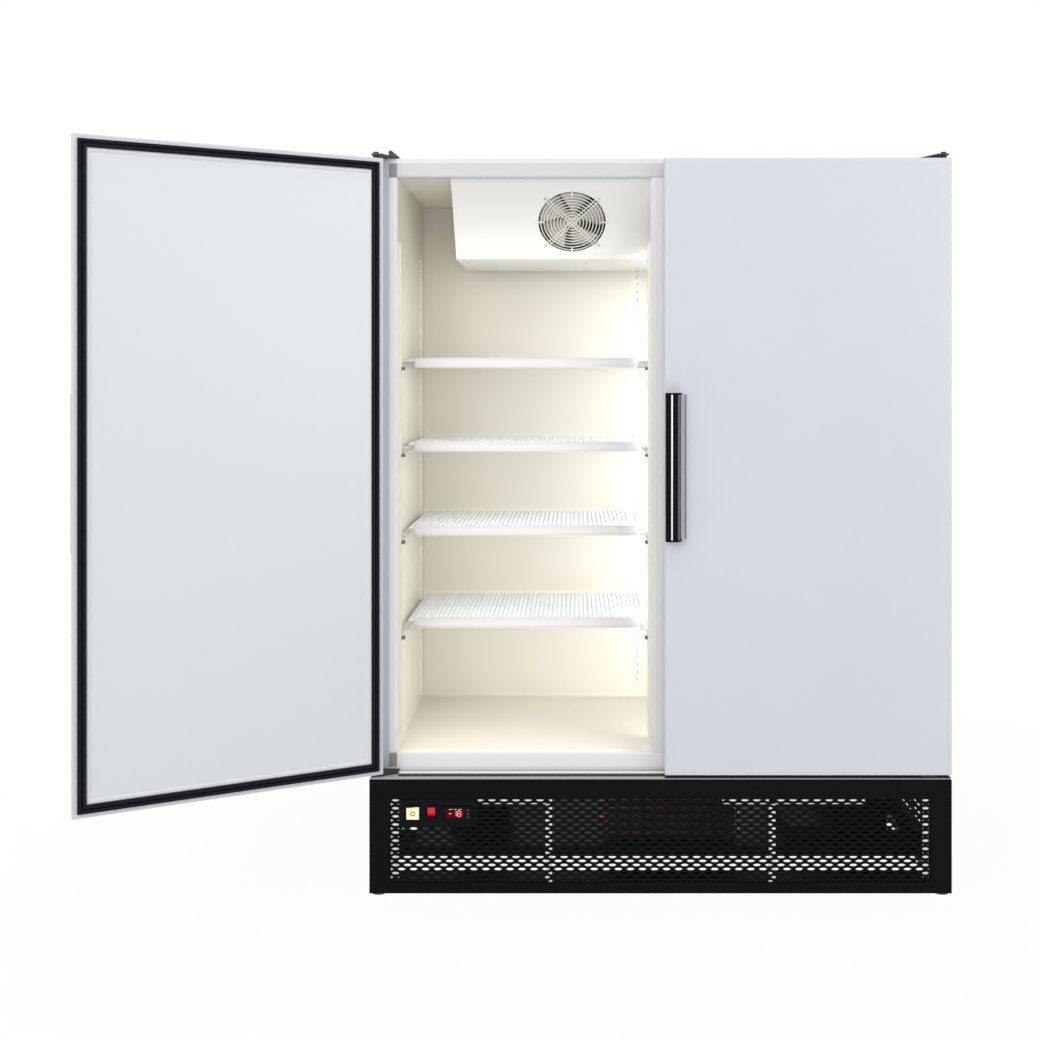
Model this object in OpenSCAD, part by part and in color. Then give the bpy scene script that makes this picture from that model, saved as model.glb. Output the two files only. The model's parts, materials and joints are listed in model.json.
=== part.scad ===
// Upright two-door commercial freezer cabinet with a machine compartment below.
// The front faces -Y, +X is to the right and +Z is up. The origin is on the floor,
// under the middle of the cabinet. The left door is drawn open and the right one shut.
// All sizes are in millimetres.

/* [Cabinet] */
// Width over both side panels
body_w = 1595; // [1400:5:1900]
// Depth from the shut doors' outer faces to the back panel
body_d = 710; // [640:5:860]
// Height from the floor to the top panel
body_h = 2030; // [1950:5:2200]
// Height from the floor to the underside of the insulated cabinet
base_h = 321; // [290:1:380]
// Thickness of each side wall, with both skins
side_wall = 65; // [50:1:90]
// Thickness of the roof
roof_t = 52; // [50:1:80]
// Thickness of the insulated floor
floor_t = 47; // [46:1:80]
// Thickness of the back wall
back_t = 60; // [50:1:90]
// Thickness of the sheet steel skins
sheet_t = 1; // [0.8:0.1:1.6]
// Width of the post between the two openings
mullion_w = 42; // [36:1:60]
// Depth of that post behind the cabinet's face
mullion_d = 55; // [45:1:80]
// Width of the plastic thermal break up each side of the opening
break_side = 22; // [16:1:26]
// Height of the thermal break along the head and the sill
break_head = 39; // [25:1:40]
// Depth of the thermal break into the opening
break_d = 30; // [20:1:40]

/* [Doors] */
// Thickness of a door without its gasket
door_t = 60; // [45:1:80]
// Space between a shut door and the cabinet's face, filled by the gasket
gasket_gap = 10; // [9:0.5:14]
// Distance from a door's edge to the gasket
gasket_inset = 12; // [12:1:20]
// Width of the gasket
gasket_w = 21; // [18:1:28]
// Space between the two shut doors
mid_gap = 24; // [6:1:30]
// Step from the top panel down to the top of the doors
door_drop = 10; // [7:1:20]
// Gap from the hinge rail up to the bottom of the doors
door_lift = 7; // [6:0.5:12]
// Width of the folded rim round a door's inner side
door_rim = 18; // [14:1:24]
// Angle at which the left door is drawn
door_open = 155; // [90:1:165]
// Radius of the hinge pins
pin_r = 5; // [4:0.5:7]
// Distance from a door's outer edge to its hinge axis
pin_inset = 13; // [12:0.5:16]
// Length of hinge pin inside a door
pin_reach = 20; // [14:1:30]
// Length of a door handle
handle_len = 404; // [250:1:600]
// Height of the middle of a handle above the floor
handle_z = 1174; // [900:1:1400]
// How far a handle stands out of its door
handle_out = 38; // [34:1:50]

/* [Shelves] */
// Height of the lowest shelf above the floor
shelf_low = 706; // [650:1:760]
// Pitch of the slots in the pilasters
slot_pitch = 24.5; // [22:0.5:26]
// Width of a pilaster
pilaster_w = 20; // [16:1:24]
// How far a pilaster stands off its wall
pilaster_d = 8; // [7:0.5:12]
// Width of a shelf runner
runner_w = 20; // [16:1:26]
// Distance from the cabinet's face back to the front edge of a shelf
shelf_setback = 145; // [100:1:180]
// Distance from the back wall to the back edge of a shelf
shelf_back = 30; // [20:1:120]
// Thickness of the wires that run from front to back
wire_d = 3.5; // [3:0.5:5]
// Thickness of a shelf's rim and cross wires
rim_d = 6; // [5:0.5:8]
// Spacing of the wires that run from front to back
wire_pitch = 13.3; // [12:0.1:40]
// Height of the price rail on a shelf's front edge
price_h = 28; // [20:1:36]

/* [Evaporator] */
// Length of the cover along the ceiling
cover_len = 1168; // [1000:2:1240]
// Height of the cover below the ceiling
cover_h = 211; // [190:1:240]
// Distance from the cabinet's face back to the cover's top front edge
cover_front = 17; // [12:1:40]
// How far the cover's sloping face runs back as it comes down
cover_slope = 156; // [120:1:180]
// Return air gap between the cover and the back wall
return_gap = 45; // [30:1:70]
// Distance of each evaporator fan from the middle of the cabinet
fan_x = 243; // [200:1:300]
// Radius of an evaporator fan's blades
fan_r = 94; // [80:1:98]

/* [Machine compartment] */
// Height of the feet under the fascia
foot_gap = 5; // [4:1:12]
// Radius of a foot
foot_r = 22; // [16:1:28]
// Side of the square steel tube in the base frame
tube = 30; // [25:1:35]
// Width of the opening in the fascia
window_w = 1482; // [1200:2:1500]
// Height of the opening in the fascia
window_h = 230; // [180:1:240]
// Height of the opening's lower edge above the floor
window_z = 34; // [30:1:50]
// Spacing of the grille's slots along a row
mesh_pitch = 33; // [30:1:44]
// Spacing of the rows of slots
mesh_row = 11.1; // [10.5:0.1:15]
// Length of one slot
slot_len = 22; // [14:0.5:25]
// Height of one slot in its middle
slot_h = 7.6; // [5:0.1:8.5]
// Thickness of the grille sheet
grille_t = 1.2; // [1:0.1:2]
// Radius of the compressor
comp_r = 88; // [70:1:100]
// Height of the compressor's shell
comp_h = 175; // [150:1:190]
// Radius of the condenser fan's blades
cond_fan_r = 96; // [80:1:100]

/* [Controls] */
// Height of the middle of the control plate above the floor
control_z = 226; // [210:1:230]
// Distance from the cabinet's middle to the light switch
light_x = 678; // [670:1:690]
// Distance from the cabinet's middle to the power switch
power_x = 627; // [622:1:632]
// Distance from the cabinet's middle to the temperature controller
display_x = 556; // [545:1:560]
// Angle through which a rocker switch tips
rocker_travel = 14; // [8:1:16]
// Travel of a controller key
key_travel = 0.8; // [0.4:0.1:1]

/* [Hidden] */
$fn = 48;
seam = 0.2;        // between pieces that seat on each other
run_clear = 0.05;  // radial clearance of every pin

x_side = body_w / 2;
y_front = -body_d / 2;
y_back = body_d / 2;
y_face = y_front + door_t + gasket_gap;
in_x = x_side - side_wall;
in_top = body_h - roof_t;
in_floor = base_h + floor_t;
in_back = y_back - back_t;
face_flange = side_wall - break_side - seam;
back_flange = 15;
mull_x = mullion_w / 2;
y_mull = y_face + mullion_d;

// doors
door_x0 = mid_gap / 2;
door_z0 = base_h + door_lift;
door_z1 = body_h - door_drop;
y_in = y_front + door_t;
pin_x = x_side - pin_inset;
pin_y = y_front + door_t / 2;
block = [50, 40, pin_reach + 6];  // steel block that holds a hinge pin
hinge_t = 4;
gasket_h = gasket_gap - 0.5;
panel_t = 2;

// handles, measured outwards from the door's free edge and face
handle_w = 60;
grip_w = 41;
handle_base_t = 4;
cap_t = 5;

// shelves
SHELF_SLOTS = [0, 11, 21, 31];  // slot that each shelf hangs in, counted from the lowest
shelf_zs = [for (n = SHELF_SLOTS) shelf_low + n * slot_pitch];
hook_drop = 10;
slot_size = [3.5, 12];
slots_below = 11;
slots_above = 44;
pilaster_z0 = shelf_low - hook_drop - (slots_below + 1) * slot_pitch;
pilaster_z1 = shelf_low - hook_drop + (slots_above + 1) * slot_pitch;
pilaster_t = 1.5;
front_post_y = y_face + 33;
rear_post_y = in_back - 100;
back_post_x = mull_x + pilaster_d + 1;
y_shelf = y_face + shelf_setback;
shelf_d = in_back - shelf_back - y_shelf;
shelf_x0 = mull_x + pilaster_d + 4;
shelf_x1 = in_x - pilaster_d - 4;
cross_count = 3;
weld = 0.4;  // depth to which a wire sinks into the bar that it is welded to
runner_t = 1.5;
runner_h = 18;
price_t = 1.6;
price_rise = 10;
price_inset = 18;

// evaporator, with the fans on the cover's sloping face
cover_t = 1.2;
cover_y0 = y_face + cover_front;
cover_y1 = in_back - return_gap;
cover_z0 = in_top - cover_h;
slope = atan(cover_slope / cover_h);
face_len = norm([cover_slope, cover_h]);
fan_up = 0.47 * face_len;
fan_pos = [fan_x, cover_y0 + cover_slope - fan_up * sin(slope), cover_z0 + fan_up * cos(slope)];
guard_r = fan_r + 8;
guard_wire = 3;
GUARD_RINGS = [0.2, 0.4, 0.6, 0.8, 1];  // shares of the guard's radius
guard_spokes = 8;
port_r = fan_r + 3;
motor_r = 32;
motor_l = 41;
motor_gap = 7;
rotor_z = -14;  // front of a fan's hub, behind the sheet that it blows through
hub_l = 24;
shaft_r = 2.5;
shaft_clear = 0.2;  // radial clearance of a shaft in its motor
hub_r = 22;
coil_len = cover_len - 130;
coil_y = [in_back - 250, in_back - 110];
coil_z = [cover_z0 + 42, in_top - 22];
fin_pitch = 26;
coil_tube_r = 5;
tray_z = cover_z0 + 10;
drain_x = cover_len / 2 - 124;
drain_r = 10;
drain_z = tray_z + 3;
duct_y = in_back + sheet_t + drain_r + 2;
drain_end = 78;
line_r = 5;
// Suction and liquid lines: place across and height of entry, then how far forward they go
LINES = [[-cover_len / 2 + 10, coil_z[0] + 50], [-cover_len / 2 + 38, coil_z[0] + 16]];
coil_row = 35;  // from a side of the evaporator coil to its nearest row of tubes
hanger = [20, 60];
line_ys = [coil_y[1] - coil_row, coil_y[0] + coil_row];
pipe_rise = 120;  // height of the liquid line above the deck
line_drop = 30;   // by which the suction line leaves the compressor lower

// lamp on the back of the post
lamp_z = [in_floor + 42, cover_z0 - 27];
lamp_w = 30;
lamp_d = 12;

// base
fascia_t = 1.5;
fascia_fold = 30;
rail_t = 5;
fascia_top = base_h - rail_t;
y_frame = y_front + fascia_t + grille_t + 2 * seam;
frame_x = x_side - fascia_t - seam;
deck_t = 3;
deck_z = foot_gap + tube + deck_t;
deck_y0 = y_front + 250;
deck_x = frame_x - 86;  // half the deck's width, with the side louvres' air way beside it
deck_y1 = y_back - tube / 2;
lip_d = 68;  // depth of the ledge inside the fascia
stay_x = 306;
stay_w = 18;
stay_t = 4;
foot_x = frame_x - foot_r;
foot_y = [y_frame + foot_r, y_back - foot_r];
foot_stem = 22;
comp_pos = [-520, 70];
coil_box = [[-150, -70, deck_z + 6], [250, -16, deck_z + 226]];
cond_fan = [120, deck_z + 116];  // place across and height
shroud_d = 34;
elec_lo = [562, -40, deck_z + seam];
elec_hi = [704, y_back - 22, deck_z + 190];
pan_lo = [drain_x - 68, deck_y0 + 20, deck_z + seam];
pan_hi = [drain_x + 86, duct_y + drain_r + 12, deck_z + 50];
gland_r = 9;
cable_r = 5;

// controls
plate_t = 1.5;
y_plate = y_front - plate_t;
control_x = [-715, -503];
control_h = 74;
control_lap = 6;  // how far the control plate overlaps the grille round its opening
control_zc = control_z - window_z - window_h / 2;  // its height from the window's middle
light_size = [34, 32];
power_size = [20, 32];
rocker_gap = [1, 2.2];  // room round a rocker, across and up
bezel_w = 3;
bezel_d = 4;
rocker_pin_r = 1.5;
display_size = [77, 35];
display_cut = [71, 29];
display_d = 58;
key_size = [7, 5];
KEY_Z = [9.5, 0, -9.5];
key_x = 29;

// ---- helpers ----

// A block between two opposite corners
module span(lo, hi) translate(lo) cube(hi - lo);

// The same piece on the right and, mirrored, on the left
module pair() {
    children();
    mirror([1, 0, 0]) children();
}

// A profile drawn with x as depth (Y) and y as height (Z), carried from x0 to x1
module along_x(x0, x1) translate([x0, 0, 0]) rotate([90, 0, 90]) linear_extrude(x1 - x0) children();

// A rod between two points, or a bar with that many flats
module rod(a, b, r, flats = 0) {
    d = b - a;
    translate(a) rotate([0, acos(d[2] / norm(d)), atan2(d[1], d[0])])
        if (flats > 0) rotate(180 / flats) cylinder(h = norm(d), r = r / cos(180 / flats), $fn = flats);
        else cylinder(h = norm(d), r = r);
}

// A quarter bend between the unit directions u and v round the corner p
module elbow(p, u, v, bend, r) {
    w = cross(u, v);
    c = p - u * bend + v * bend;
    multmatrix([[-v[0], u[0], w[0], c[0]], [-v[1], u[1], w[1], c[1]], [-v[2], u[2], w[2], c[2]]])
        rotate_extrude(angle = 90) translate([bend, 0]) circle(r);
}

// A pipe through points joined by legs at right angles
module pipe(pts, bend, r) {
    n = len(pts);
    dirs = [for (i = [0:n - 2]) (pts[i + 1] - pts[i]) / norm(pts[i + 1] - pts[i])];
    for (i = [0:n - 2])
        rod(pts[i] + (i > 0 ? dirs[i] * bend : [0, 0, 0]),
            pts[i + 1] - (i < n - 2 ? dirs[i] * bend : [0, 0, 0]), r);
    for (i = [1:n - 2]) elbow(pts[i], dirs[i - 1], dirs[i], bend, r);
}

// A flat ring in the door's plane, set in from its edges
module door_ring(inset, w, y0, y1) difference() {
    span([door_x0 + inset, y0, door_z0 + inset], [x_side - inset, y1, door_z1 - inset]);
    span([door_x0 + inset + w, y0 - 1, door_z0 + inset + w],
        [x_side - inset - w, y1 + 1, door_z1 - inset - w]);
}

// ---- insulated cabinet ----

// Side sheet with its front flange and back fold, seen from above
module side_panel() translate([0, 0, base_h]) linear_extrude(body_h - base_h) polygon([
    [x_side - face_flange, y_face], [x_side, y_face], [x_side, y_back],
    [x_side - back_flange, y_back], [x_side - back_flange, y_back - sheet_t],
    [x_side - sheet_t, y_back - sheet_t], [x_side - sheet_t, y_face + sheet_t],
    [x_side - face_flange, y_face + sheet_t]]);

module right_side_panel() color("white") side_panel();

module left_side_panel() color("white") mirror([1, 0, 0]) side_panel();

// A sheet that fits between the side panels
module level_sheet(z) span([-x_side + sheet_t + seam, y_face + sheet_t + seam, z],
    [x_side - sheet_t - seam, y_back - sheet_t - seam, z + sheet_t]);

module top_panel() color("white") level_sheet(body_h - sheet_t);

module back_panel() color("gainsboro")
    span([-x_side + back_flange + seam, y_back - sheet_t, base_h],
        [x_side - back_flange - seam, y_back, body_h]);

// Space for the drain and the two refrigerant lines: up the back wall, then forward
module ducts() {
    wells = concat([[drain_x, drain_z, drain_r + 1]], [for (l = LINES) [l[0], l[1], line_r + 2]]);
    for (w = wells) {
        r = w[2];
        translate([w[0], duct_y, base_h - 1]) cylinder(h = w[1] + r - base_h + 1, r = r);
        translate([w[0], in_back - 1, w[1]]) rotate([-90, 0, 0])
            cylinder(h = duct_y + r - in_back + 1, r = r);
    }
}

module floor_pan() color("gainsboro") difference() {
    level_sheet(base_h);
    ducts();
}

module insulation() color("khaki") difference() {
    span([-x_side + sheet_t, y_face + sheet_t, base_h + sheet_t],
        [x_side - sheet_t, y_back - sheet_t, body_h - sheet_t]);
    span([-in_x - sheet_t, y_face, in_floor - sheet_t],
        [in_x + sheet_t, in_back + sheet_t, in_top + sheet_t]);
    span([-in_x - break_side - 1, y_face, in_floor - break_head - 2],
        [in_x + break_side + 1, y_face + break_d + seam, in_top + break_head + 2]);
    ducts();
}

// Five sheets that meet at the corners with a fine seam
module inner_liner() color("ivory") {
    y0 = y_face + break_d + seam;
    pair() span([in_x, y0, in_floor], [in_x + sheet_t, in_back, in_top]);
    for (z = [in_floor - sheet_t, in_top])
        span([-in_x + seam, y0, z], [in_x - seam, in_back - seam, z + sheet_t]);
    difference() {
        span([-in_x + seam, in_back, in_floor + seam], [in_x - seam, in_back + sheet_t, in_top - seam]);
        ducts();
    }
}

// Folded steel strips over the head and under the sill
module face_rails() color("white") {
    x1 = x_side - face_flange - seam;
    head_z = in_top + break_head + seam;
    sill_z = in_floor - break_head - seam;
    lip = 12;
    along_x(-x1, x1) polygon([[y_face, head_z], [y_face + lip, head_z], [y_face + lip, head_z + sheet_t],
        [y_face + sheet_t, head_z + sheet_t], [y_face + sheet_t, body_h], [y_face, body_h]]);
    along_x(-x1, x1) polygon([[y_face, sill_z], [y_face + lip, sill_z], [y_face + lip, sill_z - sheet_t],
        [y_face + sheet_t, sill_z - sheet_t], [y_face + sheet_t, base_h], [y_face, base_h]]);
}

// Post between the openings, with softened front edges, a groove for its heater wire and
// its top cut back along the evaporator cover
module centre_post() color("white") difference() {
    soft = 2;
    cover_edge = cover_y0 - seam / cos(slope);
    translate([0, 0, in_floor + seam]) linear_extrude(in_top - in_floor - 2 * seam) polygon([
        [-mull_x, y_mull], [-mull_x, y_face + soft], [-mull_x + soft, y_face], [-3, y_face],
        [-3, y_face + 2], [3, y_face + 2], [3, y_face], [mull_x - soft, y_face],
        [mull_x, y_face + soft], [mull_x, y_mull]]);
    along_x(-mull_x - 1, mull_x + 1) polygon([
        [cover_edge - tan(slope), in_top - seam + 1], [y_mull + 1, in_top - seam + 1],
        [y_mull + 1, in_top - seam - (y_mull + 1 - cover_edge) / tan(slope)]]);
}

// Angle profile of the thermal break: w is its width on the face, x counts from the opening
module break_profile(w) {
    t = 2;
    bevel = 3;
    polygon([[0, bevel], [bevel, 0], [w, 0], [w, t], [bevel + 1, t], [t, bevel + 1], [t, break_d],
        [0, break_d]]);
}

// Four lengths of profile round the opening and a moulded block at each corner
module thermal_break() color("whitesmoke") {
    pair() translate([in_x, y_face, in_floor + seam])
        linear_extrude(in_top - in_floor - 2 * seam) break_profile(break_side);
    for (up = [0, 1]) translate([0, y_face, up ? in_top : in_floor]) mirror([0, 0, 1 - up])
        along_x(-in_x + seam, in_x - seam) rotate(90) mirror([0, 1]) break_profile(break_head);
    pair() for (z = [in_floor - break_head, in_top])
        span([in_x + seam, y_face, z + seam], [in_x + break_side, y_face + break_d, z + break_head - seam]);
}

// Slotted channel that stands on a wall: its web faces +Y and its middle is at x = 0
module pilaster() {
    h = pilaster_z1 - pilaster_z0;
    translate([0, pilaster_d, pilaster_z0]) rotate([90, 0, 0]) linear_extrude(pilaster_t) difference() {
        translate([-pilaster_w / 2, 0]) square([pilaster_w, h]);
        for (i = [1:slots_below + slots_above + 1])
            translate([-slot_size[0] / 2, i * slot_pitch - slot_size[1] / 2]) square(slot_size);
    }
    for (s = [-1, 1]) translate([s * (pilaster_w - pilaster_t) / 2 - pilaster_t / 2, seam, pilaster_z0])
        cube([pilaster_t, pilaster_d - seam - pilaster_t / 2, h]);
}

module pilasters() color("silver") pair() {
    for (y = [front_post_y, rear_post_y]) translate([in_x, y, 0]) rotate([0, 0, 90]) pilaster();
    translate([mull_x, front_post_y, 0]) rotate([0, 0, -90]) pilaster();
    translate([back_post_x, in_back, 0]) rotate([0, 0, 180]) pilaster();
}

// Angle on which a shelf's edge lies; x counts from the pilaster's web, hooks reach behind it
module runner(y0, y1, z) {
    along = y1 - y0;
    translate([seam, y0, z - runner_h]) cube([runner_t, along, runner_h]);
    translate([seam, y0, z - runner_t]) cube([runner_w, along, runner_t]);
}

module hook(z) translate([-2.2, -1.2, z - hook_drop - 4]) cube([2.2 + seam + runner_t / 2, 2.4, 8]);

module shelf_runners() color("silver") pair() for (z = shelf_zs) {
    translate([in_x - pilaster_d, 0, 0]) mirror([1, 0, 0]) {
        runner(front_post_y - 10, rear_post_y + 10, z);
        for (y = [front_post_y, rear_post_y]) translate([0, y, 0]) hook(z);
    }
    end_y = in_back - pilaster_d - seam;
    translate([mull_x + pilaster_d, 0, 0]) {
        runner(front_post_y - 10, end_y, z);
        translate([0, front_post_y, 0]) hook(z);
        translate([seam, end_y - 1, z - hook_drop - 4]) cube([runner_t, 3.4, 8]);
    }
}

// Welded wire shelf of the right-hand bay
module shelf(z) {
    x0 = shelf_x0 + rim_d / 2;
    x1 = shelf_x1 - rim_d / 2;
    y0 = y_shelf + rim_d / 2;
    y1 = y_shelf + shelf_d - rim_d / 2;
    zr = z + seam + rim_d / 2;
    zw = zr + rim_d / 2 + wire_d / 2 - weld;
    bays = floor((x1 - x0) / wire_pitch);
    step = (x1 - x0) / bays;
    for (x = [x0, x1]) rod([x, y0 - rim_d / 2, zr], [x, y1 + rim_d / 2, zr], rim_d / 2, 4);
    for (i = [0:cross_count - 1]) let (y = y0 + (y1 - y0) * i / (cross_count - 1))
        rod([x0, y, zr], [x1, y, zr], rim_d / 2, 4);
    for (i = [1:bays - 1]) let (x = x0 + i * step)
        rod([x, y0 - wire_d / 2, zw], [x, y1 + wire_d / 2, zw], wire_d / 2);
}

module left_shelf(n) color("white") mirror([1, 0, 0]) shelf(shelf_zs[n]);
module left_shelf_1() left_shelf(0);
module left_shelf_2() left_shelf(1);
module left_shelf_3() left_shelf(2);
module left_shelf_4() left_shelf(3);
module right_shelves() color("white") for (z = shelf_zs) shelf(z);

// Strip with a lip above and below that holds the price cards
module price_rails() color("lavender") pair() for (z = shelf_zs) {
    y = y_shelf - seam;
    top = z + price_rise;
    low = top - price_h;
    lip = 3;
    along_x(shelf_x0 + price_inset, shelf_x1 - price_inset) polygon([
        [y, top], [y - price_t - lip, top], [y - price_t - lip, top - lip],
        [y - price_t - lip + 1, top - lip], [y - price_t - lip + 1, top - 1.2], [y - price_t, top - 1.2],
        [y - price_t, low + 1.2], [y - price_t - lip + 1, low + 1.2], [y - price_t - lip + 1, low + lip],
        [y - price_t - lip, low + lip], [y - price_t - lip, low], [y, low]]);
}

// ---- evaporator ----

// Puts a fan part on the sloping face: +Z points out of the cover
module on_face(x) translate([x, fan_pos[1], fan_pos[2]]) rotate([90 + slope, 0, 0]) children();

// Side outline of the cover, set in by d
module cover_outline(d) polygon([[cover_y0 + d / cos(slope), in_top - seam],
    [cover_y0 + cover_slope + d * tan(45 - slope / 2), cover_z0 + d],
    [cover_y1 + 1, cover_z0 + d], [cover_y1 + 1, in_top - seam]]);

module evaporator_cover() color("white") difference() {
    intersection() {
        difference() {
            along_x(-cover_len / 2, cover_len / 2) cover_outline(0);
            along_x(-cover_len / 2 + cover_t, cover_len / 2 - cover_t) cover_outline(cover_t);
        }
        span([-cover_len, cover_y0 - 1, cover_z0 - 1], [cover_len, cover_y1, in_top - seam]);
    }
    for (s = [-1, 1]) on_face(s * fan_x) translate([0, 0, -8]) cylinder(h = 16, r = port_r);
}

// Finned block on a core, with the return bends of its tubes at both ends
module finned_block(lo, hi, pitch, fin_t, proud) {
    count = floor((hi[0] - lo[0]) / pitch);
    step = (hi[0] - lo[0] - fin_t) / count;
    span(lo + [fin_t / 2, proud, proud], hi - [fin_t / 2, proud, proud]);
    for (i = [0:count]) translate([lo[0] + i * step, lo[1], lo[2]])
        cube([fin_t, hi[1] - lo[1], hi[2] - lo[2]]);
}

module return_bends(x, y, z0, z1, gap) {
    n = floor((z1 - z0) / gap);
    for (i = [0:2:n - 1]) translate([x, y, z0 + (i + 0.5) * gap]) rotate([90, -90, 0])
        rotate_extrude(angle = 180) translate([gap / 2, 0]) circle(coil_tube_r);
}

module evaporator_coil() color("silver") {
    finned_block([-coil_len / 2, coil_y[0], coil_z[0]], [coil_len / 2, coil_y[1], coil_z[1]],
        fin_pitch, 2, 5);
    for (y = line_ys) return_bends(coil_len / 2 - 0.5, y, coil_z[0] + 10,
        coil_z[1] - 10, 32);
    for (s = [-1, 1]) translate([s * coil_len * 0.4 - hanger[0] / 2, coil_y[0] + 20, coil_z[1] - 1])
        cube([hanger[0], hanger[1], in_top - seam - coil_z[1] + 1]);
}

// Shallow pan under the coil; its spout leads back through the wall and down to the base
module drip_tray() color("silver") {
    x1 = cover_len / 2 - cover_t - 6;
    wall = 1.2;
    lo = [-x1, coil_y[0] - 12, cover_z0 + cover_t + seam];
    hi = [x1, coil_y[1] + 12, coil_z[0] - 8];
    difference() {
        span(lo, hi);
        span(lo + [wall, wall, wall], hi + [-wall, -wall, 1]);
    }
    pipe([[drain_x, hi[1] - wall / 2, drain_z], [drain_x, duct_y, drain_z], [drain_x, duct_y, drain_end]],
        14, drain_r - 3);
}

// Round wire guard in front of a fan
module fan_guard() {
    for (k = GUARD_RINGS) translate([0, 0, guard_wire / 2 + seam]) rotate_extrude()
        translate([guard_r * k, 0]) circle(guard_wire / 2, $fn = 20);
    for (i = [0:guard_spokes - 1]) rotate([0, 0, i * 360 / guard_spokes])
        translate([guard_r * GUARD_RINGS[0] - 1, 0, guard_wire + seam + 0.6]) rotate([0, 90, 0])
            cylinder(h = guard_r * (1 - GUARD_RINGS[0]) + 1, r = guard_wire / 2 - 0.2, $fn = 20);
}

module fan_guards() color("dimgray") for (s = [-1, 1]) on_face(s * fan_x) fan_guard();

// Axial rotor on its shaft: the hub's front is at z = 0 and the shaft runs back
module rotor(r, hub, blades, hub_l, shaft_l) {
    blade_t = 2;
    pitch_angle = 32;
    translate([0, 0, -hub_l]) cylinder(h = hub_l, r = hub);
    translate([0, 0, -hub_l - shaft_l]) cylinder(h = shaft_l + 1, r = shaft_r);
    for (i = [0:blades - 1]) rotate([0, 0, i * 360 / blades]) intersection() {
        translate([hub - 2, 0, -hub_l / 2]) rotate([pitch_angle, 0, 0])
            translate([0, -r * 0.42, -blade_t / 2]) cube([r, r * 0.84, blade_t]);
        difference() {
            translate([0, 0, -hub_l - 8]) cylinder(h = hub_l + 16, r = r);
            translate([0, 0, -hub_l - 9]) cylinder(h = hub_l + 18, r = hub - 1);
        }
    }
}

module evaporator_fan_left() color("dimgray") on_face(-fan_x) translate([0, 0, rotor_z])
    rotor(fan_r, hub_r, 5, hub_l, motor_gap + motor_l / 2);
module evaporator_fan_right() color("dimgray") on_face(fan_x) translate([0, 0, rotor_z])
    rotor(fan_r, hub_r, 5, hub_l, motor_gap + motor_l / 2);

// Motor with three arms that reach past the blades to the sheet in front, at height top
module fan_motor(r, top) {
    z1 = rotor_z - hub_l - motor_gap;
    arm = 8;
    difference() {
        translate([0, 0, z1 - motor_l]) cylinder(h = motor_l, r = motor_r);
        translate([0, 0, z1 - motor_l / 2 - 1]) cylinder(h = motor_l, r = shaft_r + shaft_clear);
    }
    for (a = [30, 150, 270]) rotate([0, 0, a]) {
        translate([motor_r - 3, -arm / 2, z1 - motor_l + 6]) cube([r + 6 - motor_r + 3, arm, 4]);
        translate([r + 5, -arm / 2, z1 - motor_l + 6]) cube([4, arm, top - z1 + motor_l - 6]);
    }
}

// ---- lamp ----

module lamp_housing() color("white")
    span([-lamp_w / 2, y_mull + seam, lamp_z[0]], [lamp_w / 2, y_mull + lamp_d, lamp_z[1]]);

module lamp_tube() color("lightyellow") translate([0, y_mull + lamp_d + seam, lamp_z[0] + 8])
    intersection() {
        cylinder(h = lamp_z[1] - lamp_z[0] - 16, r = lamp_w / 2 - 3);
        translate([-lamp_w, 0, -1]) cube([2 * lamp_w, lamp_w, lamp_z[1]]);
    }

// ---- base ----

module base_frame() color("black") {
    rail_z = foot_gap + tube;
    top_z = base_h - tube;
    difference() {
        union() {
            for (y = [y_frame, -tube / 2, deck_y0, y_back - tube])
                span([-frame_x, y, foot_gap], [frame_x, y + tube, rail_z]);
            pair() {
                span([frame_x - tube, y_frame, foot_gap], [frame_x, y_back, rail_z]);
                span([frame_x - tube, y_face + 35, top_z], [frame_x, y_back, base_h]);
                span([frame_x - tube, y_frame, foot_gap], [frame_x, y_frame + tube, base_h - rail_t]);
                span([frame_x - tube, y_back - tube, foot_gap], [frame_x, y_back, base_h]);
                span([frame_x - tube, y_frame, top_z - rail_t], [frame_x, y_face + 36, base_h - rail_t]);
            }
            span([-frame_x, y_frame, top_z - rail_t], [frame_x, y_frame + tube, base_h - rail_t]);
            span([-frame_x, y_back - tube, top_z], [frame_x, y_back, base_h]);
            span([-deck_x, deck_y0, rail_z], [deck_x, deck_y1, deck_z]);
            span([-frame_x, y_frame, rail_z], [frame_x, y_front + lip_d, deck_z]);
            pair() span([stay_x - stay_w / 2, y_frame, rail_z],
                [stay_x + stay_w / 2, y_frame + stay_t, top_z - rail_t + 1]);
        }
        foot_places() translate([0, 0, foot_gap - 1]) cylinder(h = foot_stem + 1, r = 5 + seam);
    }
}

module foot_places() {
    for (x = [-foot_x, foot_x], y = foot_y) translate([x, y, 0]) children();
    children();
}

module feet() color("dimgray") foot_places() {
    cylinder(h = foot_gap - seam, r = foot_r);
    cylinder(h = foot_gap + foot_stem - 2, r = 5);
}

module base_side_panels() color("black") pair() difference() {
    span([x_side - fascia_t, y_front + fascia_fold + seam, foot_gap], [x_side, y_back, base_h - seam]);
    for (i = [0:7]) translate([x_side - 5, y_back - 420, 90 + i * 22]) cube([10, 260, 6]);
}

module fascia() color("black") difference() {
    span([-x_side, y_front, foot_gap], [x_side, y_front + fascia_fold, fascia_top]);
    span([-x_side + fascia_t, y_front + fascia_t, foot_gap - 1],
        [x_side - fascia_t, y_front + fascia_fold + 1, fascia_top + 1]);
    span([-window_w / 2, y_front - 1, window_z], [window_w / 2, y_front + 5, window_z + window_h]);
}

// True where a slot would meet the opening behind the control plate
function behind_controls(x, z) = x > control_x[0] + control_lap - slot_len / 2 - 2
    && x < control_x[1] - control_lap + slot_len / 2 + 2
    && abs(z - control_zc) < control_h / 2 - control_lap + slot_h / 2 + 2;

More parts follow.
